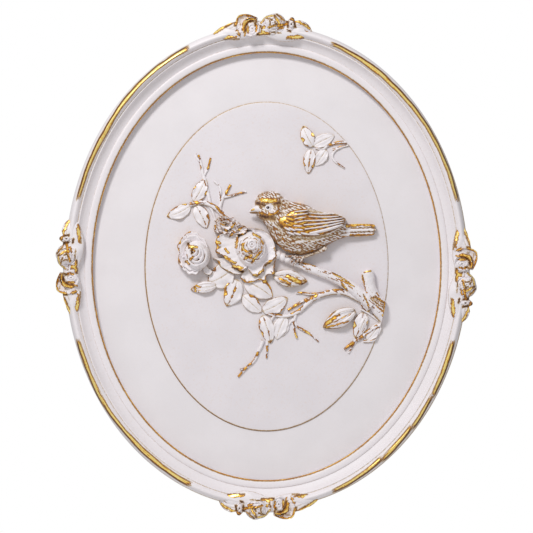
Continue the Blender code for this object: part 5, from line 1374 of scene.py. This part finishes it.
for number, (root, tip, width, left, right) in enumerate(LONG_FEATHERS):
    root, tip = (*root[:2], root[2] + 1.5), (*tip[:2], tip[2] + 2.2)
    feather(wing, root, tip, width, left, right, 100 + number, bend=-0.8, rows=46, columns=17, brown=0.8)
under_line, upper_line = (evenly(smooth_run(line, 0.5), 90) for line in WING_MOUND)
rise = np.linspace(0.0, 1.0, 40)[:, None, None]
mantle = under_line[None] * (1 - rise) + upper_line[None] * rise
level = np.interp(mantle[:, :, 0], *WING_LEVEL) + 0.5 - 2.6 * (2 * rise[:, :, 0] - 1) ** 4
hollow = np.clip(0.5 + 0.6 * tufts(mantle[:, :, 0], mantle[:, :, 1], 45, 3.0, 0.2), 0, 1)
edging = hump(rise[:, :, 0], 1.0, 0.16) * (mantle[:, :, 0] > 40) + hump(rise[:, :, 0], 0.0, 0.10)
wing.sheet(np.dstack([mantle, level]), (0.36 + 0.55 * hollow) * (1 - 0.8 * edging),
           0.85 - 0.35 * hollow - 0.45 * edging)
place_relief("bird_wing", wing)
# Root and tip (right, up) and width.
SHORT_FEATHERS = [
    (28, 54.4, 42, 56, 1.5), (27, 51.0, 42, 53, 1.6), (28, 47.4, 40, 49.4, 1.6), (28, 43.8, 39, 45.6, 1.6),
    (18, 38.8, 24, 35.6, 2.2), (22, 38.4, 29, 35.4, 2.2), (27, 40.6, 36, 40.0, 2.0),
    (28, 37.0, 37, 36.2, 2.2), (21, 34.2, 28, 31.4, 2.2), (27, 33.4, 35, 31.2, 2.2),
    (34, 33.4, 43, 31.6, 2.2), (41, 32.0, 53, 32.0, 2.2)]
coverts = Casting(plate_seat, RELIEF_FLOOR)
for number, (x0, z0, x1, z1, width) in enumerate(SHORT_FEATHERS):
    level = np.interp([x0, x1], *WING_LEVEL)
    feather(coverts, (x0, z0, level[0] + 0.2), (x1, z1, level[1] + 0.5), width, 0.5, 0.5, 120 + number,
            rows=24, columns=13, blunt=0.5, brown=0.8)
place_relief("bird_coverts", coverts)

# Tail: three long feathers side by side, gold on the top one and white on the others.
tail = Casting(plate_seat, RELIEF_FLOOR)
feather(tail, (66, 32.2, 8), (108.5, 33.2, 4.6), 5.2, 0.2, 0.95, 150, rows=44, blunt=0.1)
feather(tail, (66, 35.6, 9), (110, 36.8, 5.4), 5.0, 0.5, 0.5, 151, rows=44, blunt=0.1)
feather(tail, (66, 39.4, 9.4), (109, 40.6, 6.0), 5.0, 1.0, 1.0, 152, rows=44, blunt=0.1)
TAIL_GOLD = [
    (80, 40.2, 94, 42.0, 1.5, 0.85), (94, 42.0, 107.5, 40.8, 1.3, 0.9), (84, 31.8, 108, 32.0, 0.9, 0.7)]
TAIL_BROWN = [
    (80, 42.4, 107, 42.8, 0.7, 0.8), (84, 38.4, 108, 38.8, 0.5, 0.8), (84, 34.2, 108.5, 35.0, 0.5, 0.8),
    (84, 30.6, 108.5, 30.8, 0.8, 0.8), (107, 33, 108.6, 40, 0.5, 0.5)]
place_relief("bird_tail", tail, TAIL_GOLD, TAIL_BROWN)

# Leg and toes: a thin shank from the belly to toes that grip the branch.
shank = smooth_run([(59, 18.5, 9, 2.6), (56, 16.5, 9.4, 2.2), (50, 14, 9, 1.5), (42, 11, 9, 1.5),
                    (35, 8.5, 9, 1.6)], 1.0)
rod(bird, shank[:, :3], shank[:, 3], 0.35, 0.25)
for toe in ([(29, 8.4, 9.4), (24, 4, 8.0)], [(30.5, 5.4, 9.6), (27, 1, 6.6)],
            [(35, 5.2, 9.2), (34, 1.4, 6.8)], [(27.5, 10.2, 8.6), (19, 10.0, 7.8)]):
    line = smooth_run([(36, 8.6, 9), *toe], 0.6)
    joints = np.cos(np.arange(len(line)) * 0.6 * 2 * math.pi / 2.4)
    beads = 1.55 - 0.55 * np.linspace(0, 1, len(line)) + 0.22 * joints
    rod(bird, line, beads, 0.4, 0.2, sides=12)
place_relief("bird_body", bird)
